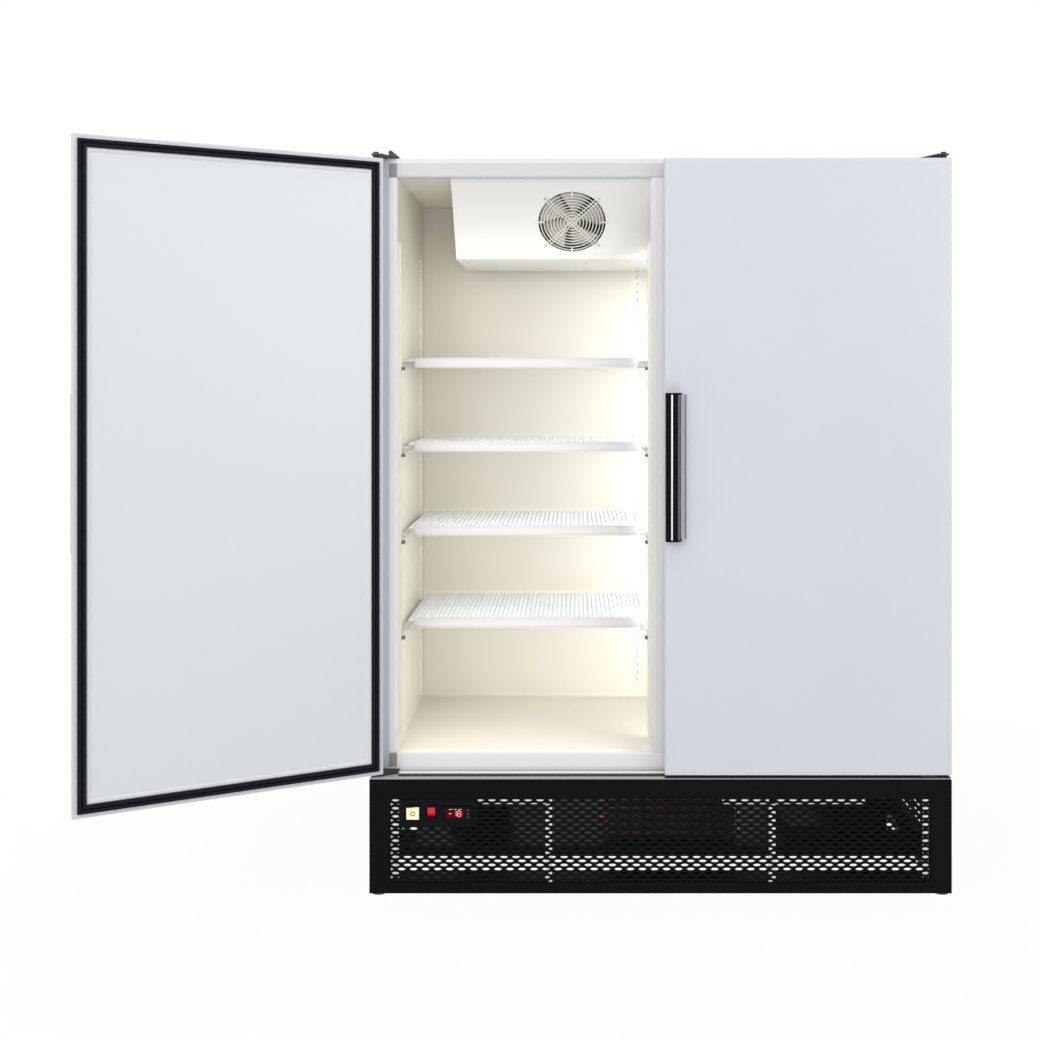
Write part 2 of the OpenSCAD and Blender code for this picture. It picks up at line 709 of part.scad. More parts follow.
// Flat sheet with staggered rows of diamond slots over the whole window
module intake_grille() color("black") {
    margin = 12;
    rows = floor((window_h / 2 - slot_h / 2) / mesh_row);
    cols = ceil(window_w / 2 / mesh_pitch);
    translate([0, y_front + fascia_t + seam + grille_t, window_z + window_h / 2])
        rotate([90, 0, 0]) linear_extrude(grille_t) difference() {
            square([window_w + 2 * margin, window_h + 2 * margin], center = true);
            for (r = [-rows:rows], i = [-cols:cols])
                let (x = (i + (abs(r) % 2) / 2) * mesh_pitch, z = r * mesh_row)
                if (abs(x) + slot_len / 2 < window_w / 2 + margin - 4 && !behind_controls(x, z))
                    translate([x, z]) polygon([[-slot_len / 2, 0], [0, slot_h / 2],
                        [slot_len / 2, 0], [0, -slot_h / 2]]);
            translate([control_x[0] + control_lap, control_zc - control_h / 2 + control_lap])
                square([control_x[1] - control_x[0], control_h] - 2 * [control_lap, control_lap]);
        }
}

// Thick steel ledge across the front of the base, which carries the lower hinges
module hinge_rail() color("lightgray")
    span([-frame_x, y_front + 3, base_h - rail_t + seam], [frame_x, y_face + 34, base_h - seam]);

// Welded can on four rubber-mounted feet, with its terminal cover
module compressor() color("black") {
    foot = 12;
    dome = 30;
    translate([comp_pos[0], comp_pos[1], deck_z + seam]) {
        translate([0, 0, foot]) rotate_extrude() {
            translate([0, 8]) square([comp_r, comp_h - dome - 8]);
            intersection() {
                translate([0, comp_h - dome - 1]) square([comp_r, dome + 1]);
                translate([0, comp_h - ball_r(comp_r, dome)]) circle(ball_r(comp_r, dome), $fn = 96);
            }
        }
        translate([-comp_r - 8, -50, foot]) cube([2 * comp_r + 16, 100, 9]);
        for (x = [-comp_r + 4, comp_r - 4], y = [-40, 40]) translate([x, y, 0])
            cylinder(h = foot + 1, r = 13);
        translate([comp_r - 12, -30, foot + 45]) cube([34, 60, 62]);
    }
}

// Radius of a ball whose cap is r wide and h high
function ball_r(r, h) = (r * r + h * h) / (2 * h);

module condenser_coil() color("dimgray") {
    finned_block(coil_box[0], coil_box[1], 12.5, 1.5, 5);
    for (i = [0:6]) translate([coil_box[0][0] + 2, coil_box[0][1] - 1, coil_box[0][2] + 22 + i * 29])
        rotate([0, 90, 0]) cylinder(h = coil_box[1][0] - coil_box[0][0] - 4, r = 4);
    for (x = [coil_box[0][0] + 2, coil_box[1][0] - 22]) span([x, coil_box[0][1] + 6, deck_z + seam],
        [x + 20, coil_box[1][1] - 6, coil_box[0][2] + 8]);
}

// Box behind the condenser with a round throat for its fan
module fan_shroud() color("black") {
    wall = 1.5;
    y0 = coil_box[1][1] + seam;
    lo = [coil_box[0][0], y0, coil_box[0][2]];
    hi = [coil_box[1][0], y0 + shroud_d, coil_box[1][2]];
    difference() {
        span(lo, hi);
        span(lo + [wall, -1, wall], hi - [wall, wall, wall]);
        translate([cond_fan[0], hi[1] - 5, cond_fan[1]]) rotate([-90, 0, 0])
            cylinder(h = 10, r = cond_fan_r + 3);
    }
}

// Puts a part of the condenser's fan in place: +Z points forward, into the shroud
module on_shroud() translate([cond_fan[0], coil_box[1][1] + seam + shroud_d, cond_fan[1]])
    rotate([90, 0, 0]) children();

module condenser_fan() color("dimgray") on_shroud() translate([0, 0, rotor_z])
    rotor(cond_fan_r, hub_r, 4, hub_l, motor_gap + motor_l / 2);

module fan_motors() color("gray") {
    for (s = [-1, 1]) on_face(s * fan_x) fan_motor(fan_r, -cover_t - seam);
    on_shroud() fan_motor(cond_fan_r, -seam);
}

// Suction line from the compressor and liquid line from the condenser, both to the evaporator
module refrigerant_pipes() color("peru") {
    bend = 10;
    end_x = -coil_len / 2 - seam;
    suction = LINES[0];
    liquid = LINES[1];
    start = [comp_pos[0], comp_pos[1] + comp_r + seam];
    low_z = deck_z + pipe_rise;
    start_z = low_z - line_drop;
    out_y = (coil_box[0][1] + coil_box[1][1]) / 2;
    out_x = coil_box[0][0] - 40;
    pipe([[start[0], start[1], start_z], [start[0], duct_y, start_z], [suction[0], duct_y, start_z],
        [suction[0], duct_y, suction[1]], [suction[0], line_ys[0], suction[1]],
        [end_x, line_ys[0], suction[1]]], bend, line_r);
    pipe([[coil_box[0][0] - seam, out_y, low_z], [out_x, out_y, low_z], [out_x, duct_y, low_z],
        [liquid[0], duct_y, low_z], [liquid[0], duct_y, liquid[1]], [liquid[0], line_ys[1], liquid[1]],
        [end_x, line_ys[1], liquid[1]]], bend, line_r - 1);
}

module electrical_box() color("dimgray") {
    lid = 3;
    wall = 2;
    difference() {
        span(elec_lo, elec_hi - [0, 0, lid + seam]);
        span(elec_lo + [wall, wall, wall], elec_hi - [wall, wall, 0]);
    }
    span(elec_lo + [-3, -3, elec_hi[2] - elec_lo[2] - lid], elec_hi + [3, 3, 0]);
}

module cable_gland() color("black") {
    y0 = elec_hi[1] + seam;
    translate([(elec_lo[0] + elec_hi[0]) / 2, y0, deck_z + 60]) rotate([-90, 0, 0]) difference() {
        union() {
            cylinder(h = 6, r = gland_r + 3, $fn = 6);
            cylinder(h = y_back - y0, r = gland_r);
        }
        translate([0, 0, 2]) cylinder(h = 40, r = cable_r);
    }
}

module evaporation_tray() color("dimgray") {
    wall = 2;
    difference() {
        span(pan_lo, pan_hi);
        span(pan_lo + [wall, wall, wall], pan_hi + [-wall, -wall, 1]);
    }
}

// ---- controls ----

module at_control(x) translate([x, y_plate, control_z]) rotate([90, 0, 0]) children();

// Raised frame round a rocker, open in the middle
module bezel(size) translate([0, 0, -1]) linear_extrude(bezel_d + 1)
    square(size + rocker_gap + 2 * [bezel_w, bezel_w], center = true);

module bezel_hole(size) {
    translate([0, 0, -30]) linear_extrude(40) square(size + rocker_gap, center = true);
    rotate([0, 90, 0])
        cylinder(h = size[0] + rocker_gap[0] + 2 * bezel_w - 2, r = rocker_pin_r + run_clear, center = true);
}

module control_plate() color("black") difference() {
    union() {
        span([control_x[0], y_plate, control_z - control_h / 2],
            [control_x[1], y_front + fascia_t, control_z + control_h / 2]);
        at_control(-light_x) bezel(light_size);
        at_control(-power_x) bezel(power_size);
    }
    at_control(-light_x) translate([0, 0, 2]) bezel_hole(light_size);
    at_control(-power_x) translate([0, 0, 2]) bezel_hole(power_size);
    at_control(-display_x) translate([0, 0, -10]) linear_extrude(20)
        square(display_cut + [1, 1], center = true);
}

// Rocker with a shallow valley in its face, drawn tipped to its "on" side
module rocker(size) translate([0, 0, 2]) rotate([rocker_travel / 2, 0, 0]) {
    h = size[1] / 2;
    rotate([90, 0, 90]) translate([0, 0, -size[0] / 2]) linear_extrude(size[0])
        polygon([[-h, 0], [-h, 4.5], [0, 2.6], [h, 4.5], [h, 0], [4, -5], [-4, -5]]);
    rotate([0, 90, 0])
        cylinder(h = size[0] + rocker_gap[0] + 2 * bezel_w - 3, r = rocker_pin_r, center = true);
}

module power_switch() color("red") at_control(-power_x) rocker(power_size);
module light_switch() color("moccasin") at_control(-light_x) rocker(light_size);

// Panel controller: bezel in front, body through the plate, window and three key wells
module temperature_controller() color("black") at_control(-display_x) difference() {
    union() {
        translate([0, 0, seam]) linear_extrude(5) square(display_size, center = true);
        translate([0, 0, -display_d]) linear_extrude(display_d + 1) square(display_cut, center = true);
    }
    translate([-6, 0, 4.2]) linear_extrude(5) square([50, 24], center = true);
    for (z = KEY_Z) translate([key_x, z, 2]) linear_extrude(5)
        square(key_size + [0.6, 0.6], center = true);
}

module key(i) color("gray") at_control(-display_x) translate([key_x, KEY_Z[i], 2 + key_travel + 0.3])
    linear_extrude(3.6) square(key_size, center = true);
module up_key() key(0);
module set_key() key(1);
module down_key() key(2);

// ---- hinges ----

module hinge_outline(y1) polygon([[x_side - 73, y1], [x_side - 73, y1 - 34], [x_side - 32, pin_y - 16],
    [x_side - 3, pin_y - 16], [x_side - 3, y1]]);

// Plates on the roof with the pins that hang into the doors; the left one has a folded stop
module top_hinges() color("black") {
    z = body_h + seam;
    pair() {
        translate([0, 0, z]) linear_extrude(hinge_t) hinge_outline(y_face + 52);
        translate([pin_x, pin_y, door_z1 - pin_reach]) cylinder(h = z + 1 - door_z1 + pin_reach, r = pin_r);
        translate([pin_x, pin_y, z + hinge_t - 0.5]) cylinder(h = 7, r = 8, $fn = 6);
        translate([pin_x, pin_y, door_z1 + 0.4]) cylinder(h = z - door_z1, r = pin_r + 3);
    }
    translate([-x_side + 73, y_face + 6, z + hinge_t - 0.5]) rotate([90, 0, 0]) linear_extrude(3)
        polygon([[0, 0], [-32, 0], [-32, 18], [-26, 21]]);
}

// Brackets on the rail with the pins that stand up into the doors
module bottom_hinges() color("black") pair() {
    translate([0, 0, base_h]) linear_extrude(hinge_t) hinge_outline(y_face - 2);
    translate([pin_x, pin_y, base_h + 1]) cylinder(h = door_z0 + pin_reach - base_h - 1, r = pin_r);
    translate([pin_x, pin_y, base_h + 1]) cylinder(h = door_z0 - base_h - 1.4, r = pin_r + 4);
}

// ---- doors: all drawn as the shut right-hand door ----

module hinge_blocks(grow) for (up = [0, 1])
    translate([x_side - sheet_t - block[0] - grow, pin_y - block[1] / 2 - grow,
        up ? door_z1 - sheet_t - block[2] - grow : door_z0 + sheet_t])
        cube(block + [grow, 2 * grow, grow]);

// Folded steel pan with a rim round its inner side and a bored block for each hinge pin
module door_skin() difference() {
    union() {
        difference() {
            span([door_x0, y_front, door_z0], [x_side, y_in, door_z1]);
            span([door_x0 + sheet_t, y_front + sheet_t, door_z0 + sheet_t],
                [x_side - sheet_t, y_in - sheet_t, door_z1 - sheet_t]);
            span([door_x0 + door_rim, y_in - 5, door_z0 + door_rim],
                [x_side - door_rim, y_in + 5, door_z1 - door_rim]);
        }
        hinge_blocks(0);
    }
    for (z = [door_z0 - 1, door_z1 - pin_reach - 3]) translate([pin_x, pin_y, z])
        cylinder(h = pin_reach + 4, r = pin_r + run_clear);
}

module door_core() difference() {
    span([door_x0 + sheet_t + seam, y_front + sheet_t + seam, door_z0 + sheet_t + seam],
        [x_side - sheet_t - seam, y_in - panel_t - seam, door_z1 - sheet_t - seam]);
    hinge_blocks(seam);
}

// Inner panel in the rim's opening, with a raised border that holds the gasket
module door_panel() {
    span([door_x0 + door_rim + seam, y_in - panel_t, door_z0 + door_rim + seam],
        [x_side - door_rim - seam, y_in, door_z1 - door_rim - seam]);
    door_ring(gasket_inset + gasket_w + 1, 9, y_in - panel_t / 2, y_in + 2.5);
}

// Two-ribbed seal; the outer rib meets the cabinet's face
module door_gasket() {
    y0 = y_in + seam;
    base = 3;
    rib = (gasket_w - 5) / 2;
    door_ring(gasket_inset, gasket_w, y0, y0 + base);
    door_ring(gasket_inset + 1, rib, y0 + 1, y0 + gasket_h - 0.2);
    door_ring(gasket_inset + gasket_w - 1 - rib, rib, y0 + 1, y0 + gasket_h - 1.5);
}

// Grip with a finger space behind it, on a flat base, seen from above
module grip_outline() {
    o = handle_out;
    polygon([[0, handle_base_t + seam], [0, o - 4], [3, o], [11, o], [13, o - 3.5], [19, o - 3.5], [21, o],
        [grip_w - 8, o], [grip_w - 2, o - 4], [grip_w, o - 10], [grip_w - 5, o - 10], [grip_w - 8, o - 7],
        [16, o - 7], [9, o - 14], [9, handle_base_t + seam]]);
}

module door_handle() translate([door_x0, y_front, handle_z - handle_len / 2]) mirror([0, 1, 0]) {
    translate([0, seam, 0]) cube([handle_w, handle_base_t - seam, handle_len]);
    translate([0, 0, cap_t / 2]) linear_extrude(handle_len - cap_t) grip_outline();
    for (z = [0, handle_len - cap_t]) translate([0, 0, z]) linear_extrude(cap_t)
        polygon([[0, handle_base_t + seam], [0, handle_out - 4], [3, handle_out], [grip_w - 8, handle_out],
            [grip_w, handle_out - 10], [grip_w + 6, handle_base_t + seam]]);
}

// Turns a left-hand door round its hinge pins to the angle it is drawn at
module left_hung() translate([-pin_x, pin_y, 0]) rotate([0, 0, -door_open])
    translate([pin_x, -pin_y, 0]) mirror([1, 0, 0]) children();

module left_door_skin() color("white") left_hung() door_skin();
module left_door_core() color("khaki") left_hung() door_core();
module left_door_panel() color("white") left_hung() door_panel();
module left_door_gasket() color("black") left_hung() door_gasket();
module left_door_handle() color("black") left_hung() door_handle();
module right_door_skin() color("white") door_skin();
module right_door_core() color("khaki") door_core();
module right_door_panel() color("white") door_panel();
module right_door_gasket() color("black") door_gasket();
module right_door_handle() color("black") door_handle();

left_side_panel();
right_side_panel();
top_panel();
back_panel();
floor_pan();
insulation();
inner_liner();
face_rails();
centre_post();
thermal_break();
pilasters();
shelf_runners();
left_shelf_1();
left_shelf_2();
left_shelf_3();
left_shelf_4();
right_shelves();
price_rails();
evaporator_cover();
evaporator_coil();
drip_tray();
fan_guards();
fan_motors();
evaporator_fan_left();
evaporator_fan_right();
lamp_housing();
lamp_tube();
base_frame();
feet();
base_side_panels();
fascia();
intake_grille();
hinge_rail();
compressor();
condenser_coil();
fan_shroud();
condenser_fan();
refrigerant_pipes();
electrical_box();
cable_gland();
evaporation_tray();
control_plate();
temperature_controller();
set_key();
up_key();
down_key();
power_switch();
light_switch();
top_hinges();
bottom_hinges();
left_door_skin();
left_door_core();
left_door_panel();
left_door_gasket();
left_door_handle();
right_door_skin();
right_door_core();
right_door_panel();
right_door_gasket();
right_door_handle();
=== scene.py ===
# %% [markdown]
# # A two-door commercial freezer cabinet
# The construction model comes in as a frame of named parts, already at its real size and place.
# This script gives every part its finish, and makes finer pieces where the plain solids fall short:
# the door seals, the grips, the wire shelves, the fans and their guards, and the small fasteners.
# Lengths are in metres. The front faces -Y, +X is to the right and +Z is up.

# %% The frame and its size
import json
import math

import bpy
import bmesh
import numpy as np
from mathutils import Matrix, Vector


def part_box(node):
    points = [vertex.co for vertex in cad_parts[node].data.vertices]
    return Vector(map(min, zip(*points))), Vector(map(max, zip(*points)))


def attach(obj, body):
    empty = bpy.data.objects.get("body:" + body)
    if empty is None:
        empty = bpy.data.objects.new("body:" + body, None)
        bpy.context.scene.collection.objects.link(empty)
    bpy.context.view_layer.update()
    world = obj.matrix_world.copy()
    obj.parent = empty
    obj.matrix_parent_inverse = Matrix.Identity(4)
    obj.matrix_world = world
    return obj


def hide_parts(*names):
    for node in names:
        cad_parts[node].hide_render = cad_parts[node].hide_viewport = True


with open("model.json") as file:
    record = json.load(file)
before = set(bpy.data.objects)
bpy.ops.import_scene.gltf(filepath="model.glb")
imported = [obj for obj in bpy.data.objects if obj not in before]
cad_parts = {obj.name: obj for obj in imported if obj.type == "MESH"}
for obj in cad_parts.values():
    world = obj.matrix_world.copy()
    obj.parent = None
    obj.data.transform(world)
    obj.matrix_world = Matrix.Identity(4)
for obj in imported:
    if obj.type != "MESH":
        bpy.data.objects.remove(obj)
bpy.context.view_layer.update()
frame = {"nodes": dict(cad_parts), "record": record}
nodes = frame["nodes"]
joints = {joint["name"]: joint for joint in frame["record"]["behaviour"]["joints"]}
print("parts in the frame:", len(nodes))

# %% [markdown]
# ## The camera
# The photograph was taken level, from just left of the middle of the open bay and a little above the
# third shelf. A level camera keeps uprights upright, so the view is aimed with lens shift and the
# camera isn't tilted.

# %% Camera
IMAGE_SIZE = 1040
FOCAL_PIXELS = 1162.6
CENTRE_PIXEL = (575.5, 380.0)
EYE = (-0.233, -3.538, 1.411)
SENSOR = 36.0

camera_data = bpy.data.cameras.new("camera")
camera_data.sensor_width = SENSOR
camera_data.lens = FOCAL_PIXELS / IMAGE_SIZE * SENSOR
camera_data.shift_x = (IMAGE_SIZE / 2 - CENTRE_PIXEL[0]) / IMAGE_SIZE
camera_data.shift_y = (CENTRE_PIXEL[1] - IMAGE_SIZE / 2) / IMAGE_SIZE
camera = bpy.data.objects.new("camera", camera_data)
camera.location = EYE
camera.rotation_euler = (math.radians(90), 0, 0)
bpy.context.scene.collection.objects.link(camera)
bpy.context.scene.camera = camera
print("lens:", round(camera_data.lens, 2), "mm")

# %% [markdown]
# ## Small helpers for shader nodes
# Materials and the world are built from nodes. Most of them are sums on numbers, on vectors or on colours,
# so three helpers place such a node, feed it and hand on what comes out of it.

# %% Sums on numbers, vectors and colours
def fed(tree, socket, value):
    """Feeds a socket from another socket, or sets its own value."""
    if isinstance(value, bpy.types.NodeSocket):
        tree.links.new(value, socket)
    else:
        socket.default_value = value


def calculate(tree, operation, *values):
    """A Math node; each value is a number or a socket."""
    node = tree.nodes.new("ShaderNodeMath")
    node.operation = operation
    for socket, value in zip(node.inputs, values):
        fed(tree, socket, value)
    return node.outputs[0]


def vectors(tree, operation, *values):
    """A Vector Math node; each value is a triple or a socket."""
    node = tree.nodes.new("ShaderNodeVectorMath")
    node.operation = operation
    for socket, value in zip(node.inputs, values):
        fed(tree, socket, value)
    return node.outputs["Value" if operation == "LENGTH" else "Vector"]


def mixed(tree, fac, a, b):
    """Colour a where fac is nought and b where it is one."""
    node = tree.nodes.new("ShaderNodeMix")
    node.data_type = "RGBA"
    for socket, value in ((node.inputs["Factor"], fac), (node.inputs[6], a), (node.inputs[7], b)):
        fed(tree, socket, value)
    return node.outputs[2]


def ramp(tree, value, ends):
    """A value carried from one range to another, with the ends given by socket name."""
    node = tree.nodes.new("ShaderNodeMapRange")
    for socket, end in ends.items():
        node.inputs[socket].default_value = end
    tree.links.new(value, node.inputs["Value"])
    return node.outputs["Result"]


def own_place(tree):
    """The place on the piece, in the piece's own coordinates."""
    return tree.nodes.new("ShaderNodeTexCoord").outputs["Object"]


# %% [markdown]
# ## Light and surroundings
# White goods are photographed on white, in soft light from both sides of the camera. Three wide lamps
# give the doors a gentle fall-off from top to bottom, and the pale surroundings fill the shadows. A faint
# lamp in the mouth of the open bay shines inwards only, and a narrow one stands in front of the tube behind
# the centre post and lights the walls behind it. Area lamps were chosen for all of them, because they are
# soft and shine to one side.

# %% Lamps
def soft_lamp(name, place, target, size, power, height=None, colour=(1, 1, 1), spread=180):
    """An area lamp that looks at a target: a square, or a rectangle where a height is given."""
    data = bpy.data.lights.new(name, "AREA")
    data.size = size
    data.energy = power
    data.color = colour
    data.spread = math.radians(spread)
    if height:
        data.shape = "RECTANGLE"
        data.size_y = height
    lamp = bpy.data.objects.new(name, data)
    lamp.location = place
    direction = np.subtract(target, place)
    lamp.rotation_euler = (
        math.atan2(math.hypot(direction[0], direction[1]), -direction[2]),
        0,
        math.atan2(direction[0], -direction[1]) + math.pi,
    )
    bpy.context.scene.collection.objects.link(lamp)


MIDDLE = (0, 0, 1.0)
soft_lamp("key_lamp", (-3.0, -5.2, 3.6), MIDDLE, 3.5, 120)
soft_lamp("fill_lamp", (3.8, -4.6, 2.4), MIDDLE, 3.5, 75)
soft_lamp("top_lamp", (0, -0.5, 5.0), MIDDLE, 4.0, 80)
soft_lamp("bay_lamp", (-0.40, -0.275, 1.00), (-0.40, 1.0, 1.00), 0.62, 2.35,
          height=1.46, colour=(1.0, 0.985, 0.89))
soft_lamp("post_lamp", (0, -0.204, 1.075), (0, 1.0, 1.075), 0.024, 2.3,
          height=1.30, colour=(0.97, 0.98, 1.0), spread=120)
print("lamps:", len(bpy.data.lights))

# %% [markdown]
# ### The white surroundings
# What the camera sees behind the object is plain white, but as light on the object that much white
# would wash out its shades. The world therefore shines at its full strength only where it is seen, and
# more faintly as light. The floor does likewise, and keeps a faint shadow near the object.

# %% World and floor
LIGHT_STRENGTH, SEEN_STRENGTH = 0.42, 1.0
world = bpy.data.worlds.new("studio")
world.use_nodes = True
bpy.context.scene.world = world
tree = world.node_tree
background = tree.nodes["Background"]


def seen_plainly(tree):
    """One where the camera sees a thing straight, in a gloss or through glass, and else nought."""
    path_info = tree.nodes.new("ShaderNodeLightPath")
    seen = path_info.outputs["Is Camera Ray"]
    for ray in ("Is Glossy Ray", "Is Transmission Ray"):
        seen = calculate(tree, "MAXIMUM", seen, path_info.outputs[ray])
    return seen


strength = ramp(tree, seen_plainly(tree), {"To Min": LIGHT_STRENGTH, "To Max": SEEN_STRENGTH})
tree.links.new(strength, background.inputs["Strength"])
background.inputs["Color"].default_value = (1, 1, 1, 1)

bpy.context.scene.view_settings.view_transform = "Standard"

FLOOR_NEAR, FLOOR_FAR = 1.1, 2.2
NEAR_WHITE = 0.95


def floor_material():
    """Pale floor: as far as FLOOR_NEAR the share NEAR_WHITE of what is seen is plain white and the rest
    takes the shadow, and from there to FLOOR_FAR the share rises to one."""
    material = bpy.data.materials.new("floor")
    material.use_nodes = True
    tree = material.node_tree
    shader = tree.nodes["Principled BSDF"]
    shader.inputs["Base Color"].default_value = (0.86, 0.86, 0.86, 1)
    shader.inputs["Roughness"].default_value = 0.6
    ends = {"From Min": FLOOR_NEAR, "From Max": FLOOR_FAR, "To Min": NEAR_WHITE, "To Max": 1.0}
    white_share = ramp(tree, vectors(tree, "LENGTH", own_place(tree)), ends)
    mix = tree.nodes.new("ShaderNodeMixShader")
    tree.links.new(calculate(tree, "MULTIPLY", seen_plainly(tree), white_share), mix.inputs[0])
    tree.links.new(shader.outputs[0], mix.inputs[1])
    tree.links.new(tree.nodes.new("ShaderNodeEmission").outputs[0], mix.inputs[2])
    tree.links.new(mix.outputs[0], tree.nodes["Material Output"].inputs["Surface"])
    return material


FLOOR_REACH = 40.0
floor_mesh = bpy.data.meshes.new("floor")
corners = [(-1, -1), (1, -1), (1, 1), (-1, 1)]
floor_mesh.from_pydata([(x * FLOOR_REACH, y * FLOOR_REACH, 0) for x, y in corners], [], [(0, 1, 2, 3)])
floor = bpy.data.objects.new("floor", floor_mesh)
floor_mesh.materials.append(floor_material())
bpy.context.scene.collection.objects.link(floor)
print("floor:", 2 * FLOOR_REACH, "m across")

# %% [markdown]
# ## Surface effects
# Each effect is a shader node group that takes a colour, a roughness and a normal, changes them a
# little from place to place, and hands them on. A finish is then a short chain of effects.

# %% The frame of a node group
def effect(name, sizes):
    """A node group that passes on colour, roughness and normal, with its own named sizes besides."""
    group = bpy.data.node_groups.new(name, "ShaderNodeTree")
    passed = (("Color", "NodeSocketColor"), ("Roughness", "NodeSocketFloat"), ("Normal", "NodeSocketVector"))
    for socket, kind in passed:
        group.interface.new_socket(socket, in_out="INPUT", socket_type=kind)
        group.interface.new_socket(socket, in_out="OUTPUT", socket_type=kind)
    for socket in sizes:
        group.interface.new_socket(socket, in_out="INPUT", socket_type="NodeSocketFloat")
    return group, group.nodes.new("NodeGroupInput"), group.nodes.new("NodeGroupOutput")


def noise(group, scale, detail=3.0, stretch=(1, 1, 1)):
    """Cloudy noise on the piece's own coordinates, with its scale along each axis."""
    mapping = group.nodes.new("ShaderNodeMapping")
    mapping.inputs["Scale"].default_value = stretch
    texture = group.nodes.new("ShaderNodeTexNoise")
    texture.inputs["Scale"].default_value = scale
    texture.inputs["Detail"].default_value = detail
    group.links.new(own_place(group), mapping.inputs["Vector"])
    group.links.new(mapping.outputs["Vector"], texture.inputs["Vector"])
    return texture.outputs["Fac"]


def swing(group, fac, amount):
    """A noise value turned into a swing about nought: (fac - 0.5) times the amount."""
    return calculate(group, "MULTIPLY", calculate(group, "SUBTRACT", fac, 0.5), amount)


def shaded(group, colour, change):
    """The colour made lighter or darker by a share."""
    node = group.nodes.new("ShaderNodeVectorMath")
    node.operation = "SCALE"
    group.links.new(colour, node.inputs[0])
    group.links.new(calculate(group, "ADD", change, 1.0), node.inputs["Scale"])
    return node.outputs["Vector"]


def bumped(group, height, strength, normal):
    """The normal tilted by a height in metres."""
    node = group.nodes.new("ShaderNodeBump")
    node.inputs["Strength"].default_value = 1.0
    group.links.new(calculate(group, "MULTIPLY", height, strength), node.inputs["Height"])
    group.links.new(normal, node.inputs["Normal"])
    return node.outputs["Normal"]


# %% [markdown]
# ### Paint, metal, plastic and dust
# Each of these is uneven in its own way. A picture wrapped round a piece could show that, but noise in the
# piece's own coordinates has no seams and stays sharp from near by, so all four effects are made from it.

# %% Sprayed paint and drawn metal
PATCH_SCALE, PEBBLE_SCALE = 2.2, 420.0
STREAK_SCALE, STREAK_STRETCH, STREAK_DEPTH = 90.0, (6, 6, 0.12), 0.00006
BLOOM_SCALE = 26.0


def make_paint():
    """Sprayed paint: broad soft patches of shade, and the fine pebbled skin of a spray coat."""
    group, given, out = effect("sprayed_paint", ("Patches", "Pebble"))
    patches = noise(group, PATCH_SCALE)
    pebble = noise(group, PEBBLE_SCALE, 2.0)
    change = swing(group, patches, given.outputs["Patches"])
    group.links.new(shaded(group, given.outputs["Color"], change), out.inputs["Color"])
    sway = calculate(group, "MULTIPLY", given.outputs["Patches"], 2.0)
    rougher = calculate(group, "ADD", given.outputs["Roughness"], swing(group, patches, sway))
    group.links.new(rougher, out.inputs["Roughness"])
    normal = bumped(group, pebble, given.outputs["Pebble"], given.outputs["Normal"])
    group.links.new(normal, out.inputs["Normal"])
    return group


def make_drawn_metal():
    """Drawn or rolled metal: fine streaks along Z, and a mottled bloom on top of them."""
    group, given, out = effect("drawn_metal", ("Streaks", "Bloom"))
    streaks = noise(group, STREAK_SCALE, 4.0, STREAK_STRETCH)
    bloom = noise(group, BLOOM_SCALE, 5.0)
    streaked = swing(group, streaks, given.outputs["Streaks"])
    change = calculate(group, "ADD", streaked, swing(group, bloom, given.outputs["Bloom"]))
    group.links.new(shaded(group, given.outputs["Color"], change), out.inputs["Color"])
    smoother = calculate(group, "SUBTRACT", given.outputs["Roughness"], change)
    group.links.new(smoother, out.inputs["Roughness"])
    normal = bumped(group, streaks, STREAK_DEPTH, given.outputs["Normal"])
    group.links.new(normal, out.inputs["Normal"])
    return group


# %% Moulded grain and settled dust
GRAIN_SCALE, RUBBED_SCALE, RUBBED_SHADE = 1400.0, 14.0, 0.35
DUST_SCALE, DUST_COLOUR, DUST_DULLNESS = 30.0, (0.32, 0.31, 0.29, 1), 0.4


def make_moulded():
    """Moulded plastic or rubber: a fine even grain with a few dull, rubbed places."""
    group, given, out = effect("moulded_grain", ("Grain", "Rubbed"))
    grain = noise(group, GRAIN_SCALE, 1.0)
    rubbed = noise(group, RUBBED_SCALE, 4.0)
    colour = shaded(group, given.outputs["Color"], swing(group, rubbed, RUBBED_SHADE))
    group.links.new(colour, out.inputs["Color"])
    change = swing(group, rubbed, given.outputs["Rubbed"])
    group.links.new(calculate(group, "ADD", given.outputs["Roughness"], change), out.inputs["Roughness"])
    normal = bumped(group, grain, given.outputs["Grain"], given.outputs["Normal"])
    group.links.new(normal, out.inputs["Normal"])
    return group


def make_dust():
    """Dust that lies thickest near the floor and on faces that look up."""
    group, given, out = effect("settled_dust", ("Reach", "Amount"))
    height = group.nodes.new("ShaderNodeSeparateXYZ")
    facing = group.nodes.new("ShaderNodeSeparateXYZ")
    shape = group.nodes.new("ShaderNodeNewGeometry")
    group.links.new(own_place(group), height.inputs[0])
    group.links.new(shape.outputs["Normal"], facing.inputs[0])
    share_up = calculate(group, "DIVIDE", height.outputs["Z"], given.outputs["Reach"])
    low = calculate(group, "MAXIMUM", calculate(group, "SUBTRACT", 1.0, share_up), 0.0)
    upward = calculate(group, "MAXIMUM", facing.outputs["Z"], 0.0)
    cover = calculate(group, "MULTIPLY", calculate(group, "ADD", low, upward), noise(group, DUST_SCALE, 5.0))
    cover = calculate(group, "MINIMUM", calculate(group, "MULTIPLY", cover, given.outputs["Amount"]), 1.0)
    group.links.new(mixed(group, cover, given.outputs["Color"], DUST_COLOUR), out.inputs["Color"])
    change = calculate(group, "MULTIPLY", cover, DUST_DULLNESS)
    group.links.new(calculate(group, "ADD", given.outputs["Roughness"], change), out.inputs["Roughness"])
    group.links.new(given.outputs["Normal"], out.inputs["Normal"])
    return group


